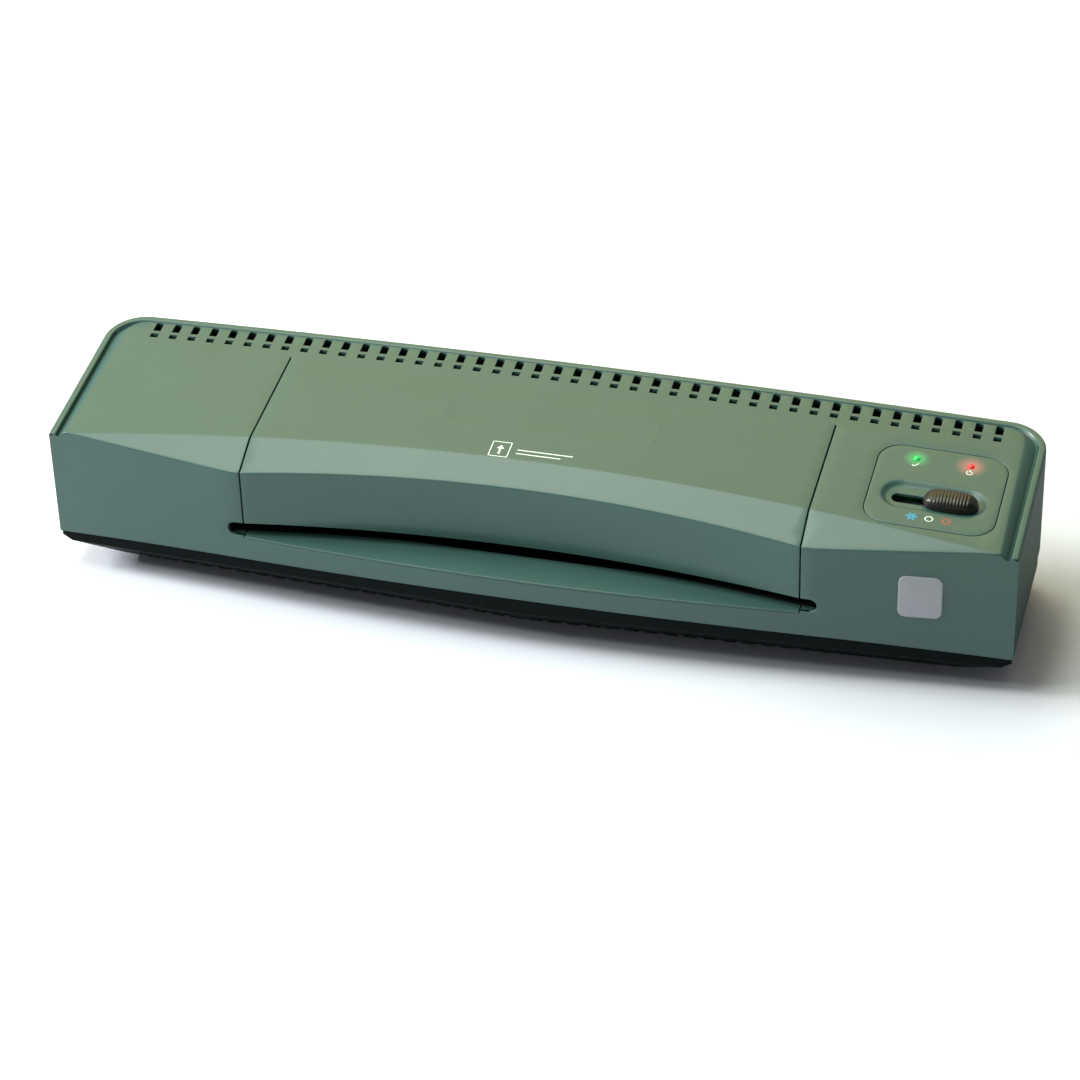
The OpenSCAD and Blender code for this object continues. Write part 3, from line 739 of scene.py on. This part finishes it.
def housing_ends(shell):
    """The walls round the ends and the rear corners."""
    path = u_path(lambda y, lean: 0)
    columns = []
    for x, y in path:
        nx, ny = edge_in(x, y)[1]
        low = skirt_z(x, y)
        column = []
        for z in wall_rows(x, y):
            in_by = lip(z - low, SKIRT_R)
            xo, yo = x + nx * in_by, y + ny * in_by
            if y < SET_BACK + TINY:
                yo = y + in_by
            yi = max(y + ny * WALL, SET_BACK + WALL)
            column.append(shell.point(at(xo, yo, z), at(x + nx * WALL, yi, z)))
        columns.append(column)
    for k, (a, b) in enumerate(zip(columns, columns[1:])):
        if path[k][1] > DEPTH - TINY and abs(path[k + 1][0]) <= END_X - CORNER_R + TINY:
            continue  # the rear wall is a sheet of its own
        for i in range(len(a) - 1):
            shell.face([a[i], a[i + 1], b[i + 1], b[i]])


def housing_rear(shell):
    """The rear wall with its exit slot, drawn in -x and z."""
    lines = [([(-x, top_z(x, DEPTH)) for x in REAR_XS], True)]
    for r in lip_rows(SKIRT_R):
        lines.append(([(-x, skirt_z(x, DEPTH) + r) for x in REAR_XS], r == 0))
    for x in (REAR_XS[0], REAR_XS[-1]):
        lines.append(([(-x, z) for z in wall_rows(x, DEPTH)], True))
    for r in lip_rows(SLOT_EDGE_R):
        half = (SLOT_HALF + r, SLOT_R + r)
        lines.append((rounded_rect((0, SLOT_MID), half, SLOT_R + r - ALMOST), r == 0))

    def exit_distance(u, z):
        return rect_distance(u, z, (0, SLOT_MID), (SLOT_HALF, SLOT_R), SLOT_R - ALMOST)

    def inside(u, z):
        return skirt_z(u, DEPTH) < z < top_z(u, DEPTH) and exit_distance(u, z) > 0

    def lift(u, z):
        sunk = lip(exit_distance(u, z), SLOT_EDGE_R) + lip(z - skirt_z(u, DEPTH), SKIRT_R)
        return at(-u, DEPTH - sunk, z), at(-u, DEPTH - WALL, z)

    add_sheet(shell, lines, inside, lift)


def housing_shell():
    shell = Shell()
    housing_top(shell)
    housing_front(shell)
    housing_ends(shell)
    housing_rear(shell)
    return shell.close()


# ---------------------------------------------------------------- the cover and the slot
def emboss(x, y):
    """Faint outline raised on the cover."""
    d = abs(rect_distance(x, y, EMBOSS, EMBOSS_HALF, EMBOSS_R))
    return -EMBOSS_HIGH * max(0.0, 1 - (d / EMBOSS_W) ** 2)


def cover_shell():
    shell = Shell()
    side = COVER_SEAM
    xs = spread(-side, side, MIDDLE)
    rear = COVER_REAR - COVER_SHORT
    lines = [([(x, upper_y(x)) for x in xs], True)]
    lines.append(([(x, rear) for x in spread(-side, side, COARSE)], True))
    lines += front_rows(xs)
    for s in (1, -1):
        for r in lip_rows(SEAM_R):
            ys = spread(upper_y(side - r), rear, MIDDLE)
            lines.append(([(s * (side - r), y) for y in ys], r == 0))
    for share in (-1, -0.5, 0, 0.5, 1):
        o = share * EMBOSS_W
        half = (EMBOSS_HALF[0] + o, EMBOSS_HALF[1] + o)
        lines.append((rounded_rect(EMBOSS, half, EMBOSS_R + o), False))

    def top_inside(x, y):
        return abs(x) < side and upper_y(x) < y < rear

    add_sheet(shell, lines, top_inside, top_lift(emboss, lambda x, y: side - abs(x)))
    lines = [([(x, top_z(x, upper_y(x))) for x in xs], True)]
    for r in lip_rows(SLOT_EDGE_R):
        lines.append(([(x, SLOT_TOP + r) for x in xs], r == 0))
    for s in (1, -1):
        for r in lip_rows(SEAM_R):
            zs = spread(SLOT_TOP, top_z(side - r, upper_y(side - r)), MIDDLE)
            lines.append(([(s * (side - r), z) for z in zs], r == 0))

    def front_inside(x, z):
        return abs(x) < side and SLOT_TOP < z < top_z(x, upper_y(x))

    front_lift = wall_lift(lambda x, z: side - abs(x))
    add_sheet(shell, lines, front_inside, front_lift, spacing=WALL_STEP)
    return shell.close()


def extrude(rings):
    """A solid through equal rings of points."""
    verts = [p for ring in rings for p in ring]
    n = len(rings[0])
    faces = []
    for k in range(len(rings) - 1):
        for i in range(n):
            a, b = k * n + i, k * n + (i + 1) % n
            faces.append([a, b, b + n, a + n])
    faces.append(list(reversed(range(n))))
    faces.append([len(verts) - n + i for i in range(n)])
    return verts, faces


def lip_rear(x):
    """Where the slot's light lip ends and the black guide, which paints the shade inside the
    slot, starts behind it.
    """
    return min(upper_y(x) + LIP_DEEP, SHELF_REAR - LIP_SHORT)


def section(x, ring):
    """Points of a section across the machine at x, from pairs of y and z."""
    return [at(x, y, z) for y, z in ring]


def shelf_piece():
    """Lip of the slot's floor, with the nose that laps over the skirt."""
    z, r, foot = SHELF_Z, SLOT_EDGE_R, SHELF_Z - NOSE + NOSE_GAP
    rings = []
    for x in spread(-COVER_SEAM, COVER_SEAM, FINE):
        y, rear = lower_y(x), lip_rear(x)
        ring = [(rear, z)]
        for a in (0, 22.5, 45, 67.5, 90):
            turn = math.radians(a)
            ring.append((y + r - r * math.sin(turn), z - r + r * math.cos(turn)))
        ring += [(y, foot), (y + NOSE_DEEP, foot), (y + NOSE_DEEP, z - LIP_T), (rear, z - LIP_T)]
        rings.append(section(x, ring))
    return extrude(rings)


def guide_shade_piece():
    """Black plate behind the lip, on which the pouch runs in: the black guide carried forwards
    over the rear of the slot's floor as painted shade.
    """
    high, low = SHELF_Z - GUIDE_DROP, SHELF_Z - LIP_T
    end = STRIP_X - GUIDE_SHORT
    rings = []
    for x in spread(-end, end, FINE):
        y = lip_rear(x) + GUIDE_GAP
        ring = ((SHELF_REAR, high), (y, high), (y, low), (SHELF_REAR, low))
        rings.append(section(x, ring))
    return extrude(rings)


def ledge_piece(side):
    """Floor of the slot beyond a seam, on the right for 1 and on the left for -1."""
    high, low = SHELF_Z, SHELF_Z - LIP_T
    rings = []
    for x in spread(HOUSE_SEAM, STRIP_X, FINE)[::side]:
        y, rear = lower_y(x) + LEDGE_SET_BACK, lip_rear(x)
        rings.append(section(side * x, ((rear, high), (y, high), (y, low), (rear, low))))
    return extrude(rings)


# ---------------------------------------------------------------- control panel and knob
# the panel lies with the top, which rises towards the rear and falls towards the end
END_TILT = Matrix.Rotation(-2 * TOP[2] * DISH[0], 3, "Y")
PANEL_TURN = Matrix.Rotation(math.atan(TOP[1]), 3, "X") @ END_TILT


def on_panel(u, v, w):
    """A point by the middle of the dish: u along the slide, v back, w outwards."""
    turned = PANEL_TURN @ Vector((u, v, w))
    z = bowed(TOP, *DISH)
    return at(DISH[0] + turned.x, DISH[1] + turned.y, z + turned.z)


def dish_depth(x, y):
    inwards = -rect_distance(x, y, DISH, DISH_HALF, DISH_R)
    t = min(max(inwards / DISH_SLOPE, 0), 1)
    return DISH_DEPTH * t * t * (3 - 2 * t)


def panel_holes(x, y):
    """Distances outside the knob's slot and outside the two lens holes."""
    found = [rect_distance(x, y, STEM, STEM_HALF, STEM_R)]
    for s in (1, -1):
        found.append(math.hypot(x - DISH[0] - s * LENS_DX, y - LENS_Y) - LENS_HOLE_R)
    return found


def control_panel_shell():
    shell = Shell()
    lines = []
    for r in lip_rows(PANEL_R):
        lines.append((panel_loop(-r), r == 0))
    for t in (0, 0.15, 0.3, 0.5, 0.7, 0.85, 1):
        o = -t * DISH_SLOPE
        half = (DISH_HALF[0] + o, DISH_HALF[1] + o)
        lines.append((rounded_rect(DISH, half, DISH_R + o, 10), False))
    for r in lip_rows(STEM_EDGE_R):
        half = (STEM_HALF[0] + r, STEM_HALF[1] + r)
        lines.append((rounded_rect(STEM, half, STEM_R + r), r == 0))
    for s in (1, -1):
        c = (DISH[0] + s * LENS_DX, LENS_Y)
        for r in lip_rows(LENS_EDGE_R):
            half = LENS_HOLE_R + r
            lines.append((rounded_rect(c, (half, half), half - ALMOST), r == 0))

    def inside(x, y):
        return panel_distance(x, y) < 0 and min(panel_holes(x, y)) > 0

    def lift(x, y):
        stem, *lenses = panel_holes(x, y)
        drop = lip(-panel_distance(x, y), PANEL_R) + dish_depth(x, y)
        drop += lip(stem, STEM_EDGE_R) + lip(min(lenses), LENS_EDGE_R)
        z = section_z(x, y)
        return at(x, y, z - drop), at(x, y, z - dish_depth(x, y) - PANEL_T)

    add_sheet(shell, lines, inside, lift, spacing=PANEL_STEP)
    return shell.close()


def knob_mesh():
    """Slider cap at its right stop: a blunt oval dome, ribbed across its middle. The ribs
    fade out towards their ends and down the flanks."""
    half_u, half_v, high = 14.25, 7.0, 6.6
    rib_end, rib_pitch, rib_deep, rib_fade = 9.6, 1.7, 0.35, 0.8
    flank, flank_fade = 0.25, 3
    edge, skin = 0.02, 0.02
    count_u, count_v = 96, 32
    middle = TRAVEL / 2
    v0 = KNOB_Y - DISH[1]
    base = KNOB_CLEAR - DISH_DEPTH
    rings = []
    for i in range(count_u + 1):
        u = half_u * math.sin(-math.pi / 2 + math.pi * i / count_u)
        t = min(abs(u) / half_u, 1)
        wide = max(half_v * (1 - t ** 3.2) ** (1 / 2.6), edge)
        crown = high * (1 - t ** 4) ** 0.5
        rib = 0.5 + 0.5 * math.cos(2 * math.pi * u / rib_pitch)
        ring = []
        for j in range(count_v + 1):
            b = math.pi * j / count_v
            out, up = math.cos(b), math.sin(b)
            v = wide * math.copysign(abs(out) ** 0.75, out)
            w = crown * abs(up) ** 0.62
            if abs(u) < rib_end and up > flank:
                fade = min(1, (rib_end - abs(u)) / rib_fade)
                w -= rib_deep * fade * min(1, (up - flank) * flank_fade) * rib
            ring.append(on_panel(middle + u, v0 + v, base + max(w, 0)))
        ring.append(on_panel(middle + u, v0 - wide, base - skin))
        ring.append(on_panel(middle + u, v0 + wide, base - skin))
        rings.append(ring)
    verts, faces = extrude(rings)
    return verts, [list(reversed(f)) for f in faces]


def lens_mesh(dx):
    """Domed lens, dx mm along the panel from the middle of the dish."""
    v, count = LENS_Y - DISH[1], 24
    turns = [2 * math.pi * k / count for k in range(count)]
    dome = [(LENS_R * share, w) for share, w in LENS_DOME] + [(0.05, 1.1)]
    rings = []
    for r, w in dome:
        rings.append([on_panel(dx + r * math.cos(a), v + r * math.sin(a), w) for a in turns])
    return extrude(rings)


# ---------------------------------------------------------------- printed symbols, badge
def printed(shapes):
    """Thin ink on the top, from loops of points in plan."""
    verts, faces = [], []
    for loop in shapes:
        n, first = len(loop), len(verts)
        for up in (INK_LIFT + INK_T, INK_LIFT):
            for x, y in loop:
                verts.append(at(x, y, section_z(x, y) + up))
        faces.append([first + i for i in range(n)])
        faces.append([first + n + i for i in reversed(range(n))])
        for i in range(n):
            j = (i + 1) % n
            faces.append([first + i, first + n + i, first + n + j, first + j])
    return verts, faces


def bar(a, b, width):
    a, b = Vector(a), Vector(b)
    side = (b - a).normalized().orthogonal() * width / 2
    return [tuple(p) for p in (a - side, b - side, b + side, a + side)]


def stroke(points, width):
    return [bar(a, b, width) for a, b in zip(points, points[1:])]


def ring(c, r, width, start=0, end=360, steps=24):
    """Pieces of a ring, each four-sided."""
    inner, outer = r - width / 2, r + width / 2
    shapes = []
    for k in range(steps):
        p, q = (math.radians(start + (end - start) * (k + m) / steps) for m in (0, 1))
        corners = ((outer, p), (outer, q), (inner, q), (inner, p))
        shapes.append([(c[0] + d * math.cos(a), c[1] + d * math.sin(a)) for d, a in corners])
    return shapes


def spokes(c, r0, r1, count, width):
    shapes = []
    for k in range(count):
        a = 2 * math.pi * k / count
        dx, dy = math.cos(a), math.sin(a)
        start, stop = (c[0] + r0 * dx, c[1] + r0 * dy), (c[0] + r1 * dx, c[1] + r1 * dy)
        shapes.append(bar(start, stop, width))
    return shapes


def tick(c):
    x, y = c
    return stroke([(x - 1.6, y), (x - 0.4, y - 1.2), (x + 1.8, y + 1.4)], 0.55)


def power_mark(c):
    """A ring that is open at the top, and a bar through the gap."""
    x, y = c
    return ring(c, 1.5, 0.5, 125, 415) + [bar((x, y + 0.4), (x, y + 2.4), 0.5)]


def sheet_mark(c):
    """A sheet with an arrow into it."""
    x, y = c
    corners = [(x - 5, y - 6), (x + 5, y - 6), (x + 5, y + 6), (x - 5, y + 6)]
    shapes = stroke(corners + corners[:1], 0.5)
    shapes.append(bar((x, y - 4), (x, y + 0.5), 1.0))
    shapes.append([(x - 2, y + 0.5), (x + 2, y + 0.5), (x, y + 3.4)])
    return shapes


def text_dashes():
    """Two lines in place of print, beside the sheet."""
    shapes = []
    for y, stop in ((36, 22), (33, 16)):
        shapes.append(bar((-8, y), (stop, y), 0.7))
    return shapes


def badge_mesh():
    """Blank plate along the right end face, with a rounded edge in steps: how far the
    outline is drawn in, and how far it stands out."""
    rings = []
    for inset, out in ((0, -0.1), (0, 0.35), (0.12, 0.55), (0.4, 0.66), (0.8, 0.7)):
        half = (BADGE_HALF[0] - inset, BADGE_HALF[1] - inset)
        loop = rounded_rect(BADGE, half, BADGE_R - inset)[:-1]
        rings.append([at(x, end_face_y(x) - out, z) for x, z in loop])
    return extrude(rings)


# ---------------------------------------------------------------- materials
def srgb(r, g, b):
    """Linear colour from 0-255 display values."""
    out = []
    for c in (r, g, b):
        c = c / 255
        out.append(c / 12.92 if c <= 0.04045 else ((c + 0.055) / 1.055) ** 2.4)
    return (*out, 1.0)


def material(
    name, colour, rough=0.45, metal=0.0, vary=0.08, grain=900, bump=0.1, blotch=25, spec=0.5
):
    """Procedural finish: a colour that drifts by the share vary over blotches, with a fine
    moulded grain, whose dents have the strength bump."""
    mat = bpy.data.materials.new(name)
    mat.use_nodes = True
    tree = mat.node_tree
    shader = tree.nodes["Principled BSDF"]
    shader.inputs["Metallic"].default_value = metal
    shader.inputs["Specular IOR Level"].default_value = spec
    place = tree.nodes.new("ShaderNodeTexCoord").outputs["Object"]
    drift = tree.nodes.new("ShaderNodeTexNoise")
    drift.inputs["Scale"].default_value = blotch
    drift.inputs["Detail"].default_value = 4
    tree.links.new(place, drift.inputs["Vector"])
    ramp = tree.nodes.new("ShaderNodeValToRGB")
    low, high = ramp.color_ramp.elements
    low.position, high.position = 0.3, 0.7
    low.color = (*[c * (1 - vary) for c in colour[:3]], 1)
    high.color = (*[min(1, c * (1 + vary)) for c in colour[:3]], 1)
    tree.links.new(drift.outputs["Fac"], ramp.inputs["Fac"])
    tree.links.new(ramp.outputs["Color"], shader.inputs["Base Color"])
    fine = tree.nodes.new("ShaderNodeTexNoise")
    fine.inputs["Scale"].default_value = grain
    fine.inputs["Detail"].default_value = 3
    tree.links.new(place, fine.inputs["Vector"])
    level = tree.nodes.new("ShaderNodeMapRange")
    level.inputs["To Min"].default_value = max(0.02, rough - 0.05)
    level.inputs["To Max"].default_value = min(1, rough + 0.05)
    tree.links.new(fine.outputs["Fac"], level.inputs["Value"])
    tree.links.new(level.outputs["Result"], shader.inputs["Roughness"])
    dents = tree.nodes.new("ShaderNodeBump")
    dents.inputs["Strength"].default_value = bump
    dents.inputs["Distance"].default_value = 0.0002
    tree.links.new(fine.outputs["Fac"], dents.inputs["Height"])
    tree.links.new(dents.outputs["Normal"], shader.inputs["Normal"])
    return mat


def glow(mat, spots):
    """Painted light that the lenses cast on a surface, added to its material as emission:
    (point, colour, radius in mm, strength).
    """
    tree = mat.node_tree
    shader = tree.nodes["Principled BSDF"]
    place = tree.nodes.new("ShaderNodeTexCoord").outputs["Object"]
    total = None
    for point, colour, radius, strength in spots:
        far = tree.nodes.new("ShaderNodeVectorMath")
        far.operation = "DISTANCE"
        far.inputs[1].default_value = point
        tree.links.new(place, far.inputs[0])
        fade = tree.nodes.new("ShaderNodeMapRange")
        fade.interpolation_type = "SMOOTHSTEP"
        fade.inputs["From Min"].default_value = radius * MM
        fade.inputs["From Max"].default_value = 0
        fade.inputs["To Max"].default_value = strength
        tree.links.new(far.outputs["Value"], fade.inputs["Value"])
        tint = tree.nodes.new("ShaderNodeVectorMath")
        tint.operation = "SCALE"
        tint.inputs[0].default_value = colour[:3]
        tree.links.new(fade.outputs["Result"], tint.inputs["Scale"])
        if total is None:
            total = tint.outputs["Vector"]
        else:
            both = tree.nodes.new("ShaderNodeVectorMath")
            tree.links.new(total, both.inputs[0])
            tree.links.new(tint.outputs["Vector"], both.inputs[1])
            total = both.outputs["Vector"]
    tree.links.new(total, shader.inputs["Emission Color"])
    shader.inputs["Emission Strength"].default_value = 1.0


green = srgb(60, 220, 110)
red = srgb(240, 120, 110)
SHELL = srgb(53, 84, 79)
shell_look = material("shell", SHELL, rough=0.36, vary=0.03, bump=0.05)
# painted shade: the end faces take a darker copy of the shell's colour, with a duller texture
# that mirrors less of the table
end_shade_look = material("shell_end_painted_shade", srgb(36, 62, 58), rough=0.55, vary=0.03, bump=0.05, spec=0.08)
panel_glow_look = material("panel", SHELL, rough=0.36, vary=0.03, bump=0.05)
# the guide's black, carried forwards over the slot's floor, is painted shade
guide_shade_look = material("guide", srgb(12, 12, 12), rough=0.8)
base_look = material("base", srgb(3, 11, 11), rough=0.5, spec=0.06)
badge_look = material("badge", srgb(150, 153, 160), rough=0.5)
knob_look = material("knob", srgb(24, 24, 19), rough=0.35)
green_look = material("green_lens", srgb(40, 190, 80), rough=0.15, grain=300)
red_look = material("red_lens", srgb(220, 50, 45), rough=0.15, grain=300)
ink_white = material("ink_white", srgb(214, 226, 220), rough=0.6)
ink_blue = material("ink_blue", srgb(60, 150, 185), rough=0.6)
ink_red = material("ink_red", srgb(165, 85, 75), rough=0.6)
slot_looks = {
    "shell": shell_look,
    "skirt": shell_look,
    "base": base_look,
    "badge": badge_look,
    "knob": knob_look,
    "green_lens": green_look,
    "red_lens": red_look,
    "foot_rubber": material("foot_rubber", srgb(24, 24, 24), rough=0.8, grain=1500),
    "steel": material("steel", srgb(190, 192, 195), rough=0.32, metal=1.0),
    "roller_rubber": material("roller_rubber", srgb(150, 66, 48), rough=0.6),
    "bronze": material("bronze", srgb(190, 150, 90), rough=0.4, metal=1.0),
    "nylon": material("nylon", srgb(224, 220, 206), rough=0.5),
    "aluminium": material("aluminium", srgb(200, 203, 206), rough=0.35, metal=1.0),
    "heater": material("heater", srgb(196, 158, 96), rough=0.5),
    "board": material("board", srgb(30, 92, 52), rough=0.4, blotch=300, vary=0.2),
    "electrical": material("electrical", srgb(44, 48, 58), rough=0.5),
    "motor_case": material("motor_case", srgb(120, 122, 126), rough=0.4, metal=1.0),
}

# each CAD node takes the finish of its slot in the record
node_slots = {}
for subpart in frame["record"]["subparts"]:
    node_slots[subpart.get("node") or subpart.get("name")] = subpart.get("material_slot")
for name, piece in nodes.items():
    look = slot_looks.get(node_slots.get(name), slot_looks["steel"])
    piece.data.materials.clear()
    piece.data.materials.append(look)
    piece.data.shade_smooth()
    piece.data.set_sharp_from_angle(angle=math.radians(32))

# the lenses are lit, and their light is painted as a glow on the panel round them
lens_spots = [
    (on_panel(-LENS_DX, LENS_Y - DISH[1], 0), green, 8.0, 0.6),
    (on_panel(LENS_DX, LENS_Y - DISH[1], 0), red, 9.5, 0.6),
]
glow(panel_glow_look, lens_spots)
for look, colour, power in ((green_look, green, 0.25), (red_look, srgb(235, 60, 50), 0.35)):
    shader = look.node_tree.nodes["Principled BSDF"]
    shader.inputs["Emission Color"].default_value = colour
    shader.inputs["Emission Strength"].default_value = power

# ---------------------------------------------------------------- pieces
housing = housing_shell()
make("housing", *housing, shell_look, replaces=["main_housing"], slot="shell", ends=end_shade_look)
make("cover", *cover_shell(), shell_look, replaces=["centre_cover"], slot="shell")
make("slot_floor", *shelf_piece(), shell_look, replaces=["feed_shelf"], slot="skirt")
make("slot_guide_shade", *guide_shade_piece(), guide_shade_look, slot="base")
make("slot_ledge_left", *ledge_piece(-1), shell_look, slot="skirt")
make("slot_ledge_right", *ledge_piece(1), shell_look, slot="skirt")
panel = control_panel_shell()
make("panel_insert", *panel, panel_glow_look, replaces=["control_panel"], slot="shell")
make(
    "slide_cap",
    *knob_mesh(),
    knob_look,
    body="mode_slider",
    replaces=["slider_knob"],
    slot="knob",
    sharp=50,
)
make("lens_ready", *lens_mesh(-LENS_DX), green_look, replaces=["ready_lens"], slot="green_lens")
make("lens_power", *lens_mesh(LENS_DX), red_look, replaces=["power_lens"], slot="red_lens")
make("end_plate", *badge_mesh(), badge_look, replaces=["badge"], slot="badge")

white = text_dashes() + tick((DISH[0] - LENS_DX, LENS_MARK_Y))
white += power_mark((DISH[0] + LENS_DX, LENS_MARK_Y)) + ring((OFF_X, SWITCH_MARK_Y), 1.9, 0.6)
white += sheet_mark((-17, 35))
make("print_white", *printed(white), ink_white)
snow = (COLD_X, SWITCH_MARK_Y)
make("print_cold", *printed(spokes(snow, 0, 3.1, 6, 0.8) + ring(snow, 1.7, 0.5)), ink_blue)
sun = (HOT_X, SWITCH_MARK_Y)
make("print_hot", *printed(ring(sun, 1.6, 0.6) + spokes(sun, 2.3, 3.2, 8, 0.6)), ink_red)

# ---------------------------------------------------------------- floor, light, camera
bpy.ops.mesh.primitive_plane_add(size=30, location=(0, 0, 0))
floor = bpy.context.object
floor.name = "floor"
white_card = (0.66, 0.69, 0.76, 1)
floor_look = material("floor", white_card, rough=0.95, vary=0.01, blotch=2, spec=0.1)
floor.data.materials.append(floor_look)

world = bpy.data.worlds.new("studio")
bpy.context.scene.world = world
world.use_nodes = True
sky = world.node_tree
# brighter on the left than at the right front, as with a dark card there
facing = sky.nodes.new("ShaderNodeVectorMath")
facing.operation = "DOT_PRODUCT"
facing.inputs[1].default_value = (0.85, -0.5, 0.0)
sky.links.new(sky.nodes.new("ShaderNodeTexCoord").outputs["Generated"], facing.inputs[0])
level = sky.nodes.new("ShaderNodeMapRange")
level.inputs["From Min"].default_value = -0.5
level.inputs["From Max"].default_value = 0.7
level.inputs["To Min"].default_value = 0.6
level.inputs["To Max"].default_value = 0.04
sky.links.new(facing.outputs["Value"], level.inputs["Value"])
sky.links.new(level.outputs["Result"], sky.nodes["Background"].inputs["Strength"])
sky.nodes["Background"].inputs["Color"].default_value = (1, 1, 1, 1)


def area(name, place, size, power, colour=(1, 1, 1)):
    """A rectangular light, aimed at the middle of the machine."""
    lamp = bpy.data.lights.new(name, "AREA")
    lamp.shape = "RECTANGLE"
    lamp.size, lamp.size_y = size
    lamp.energy = power
    lamp.color = colour
    holder = bpy.data.objects.new(name, lamp)
    holder.location = place
    aim = Vector((0, 0, 0.05)) - Vector(place)
    holder.rotation_euler = aim.to_track_quat("-Z", "Y").to_euler()
    bpy.context.scene.collection.objects.link(holder)


# a grazing key from the left, a warm panel behind and a cool one overhead, which the top
# and its front facet mirror towards the camera, and a small one for the front's edges
area("key", (-2.2, -0.35, 1.4), (0.8, 0.8), 85)
area("warm", (-0.9, 2.0, 2.0), (3.4, 1.4), 27, (1, 0.78, 0.0))
area("cool", (-0.6, 0.1, 2.4), (2.2, 1.0), 51, (0.96, 1, 0.85))
area("edge", (-1.6, -1.1, 1.6), (0.3, 0.2), 11, (0.92, 1, 0.92))

# the fitted camera: its focal length in mm, its turns in degrees and its place in metres
optics = bpy.data.cameras.new("camera")
optics.lens = 123.641
optics.sensor_width = 36
camera = bpy.data.objects.new("camera", optics)
turn = Euler([math.radians(a) for a in (54.43995, 1.4522, 14.82684)]).to_matrix().to_4x4()
camera.matrix_world = Matrix.Translation((0.440327, -1.558977, 1.183442)) @ turn
bpy.context.scene.collection.objects.link(camera)
bpy.context.scene.camera = camera
bpy.context.scene.view_settings.view_transform = "Standard"
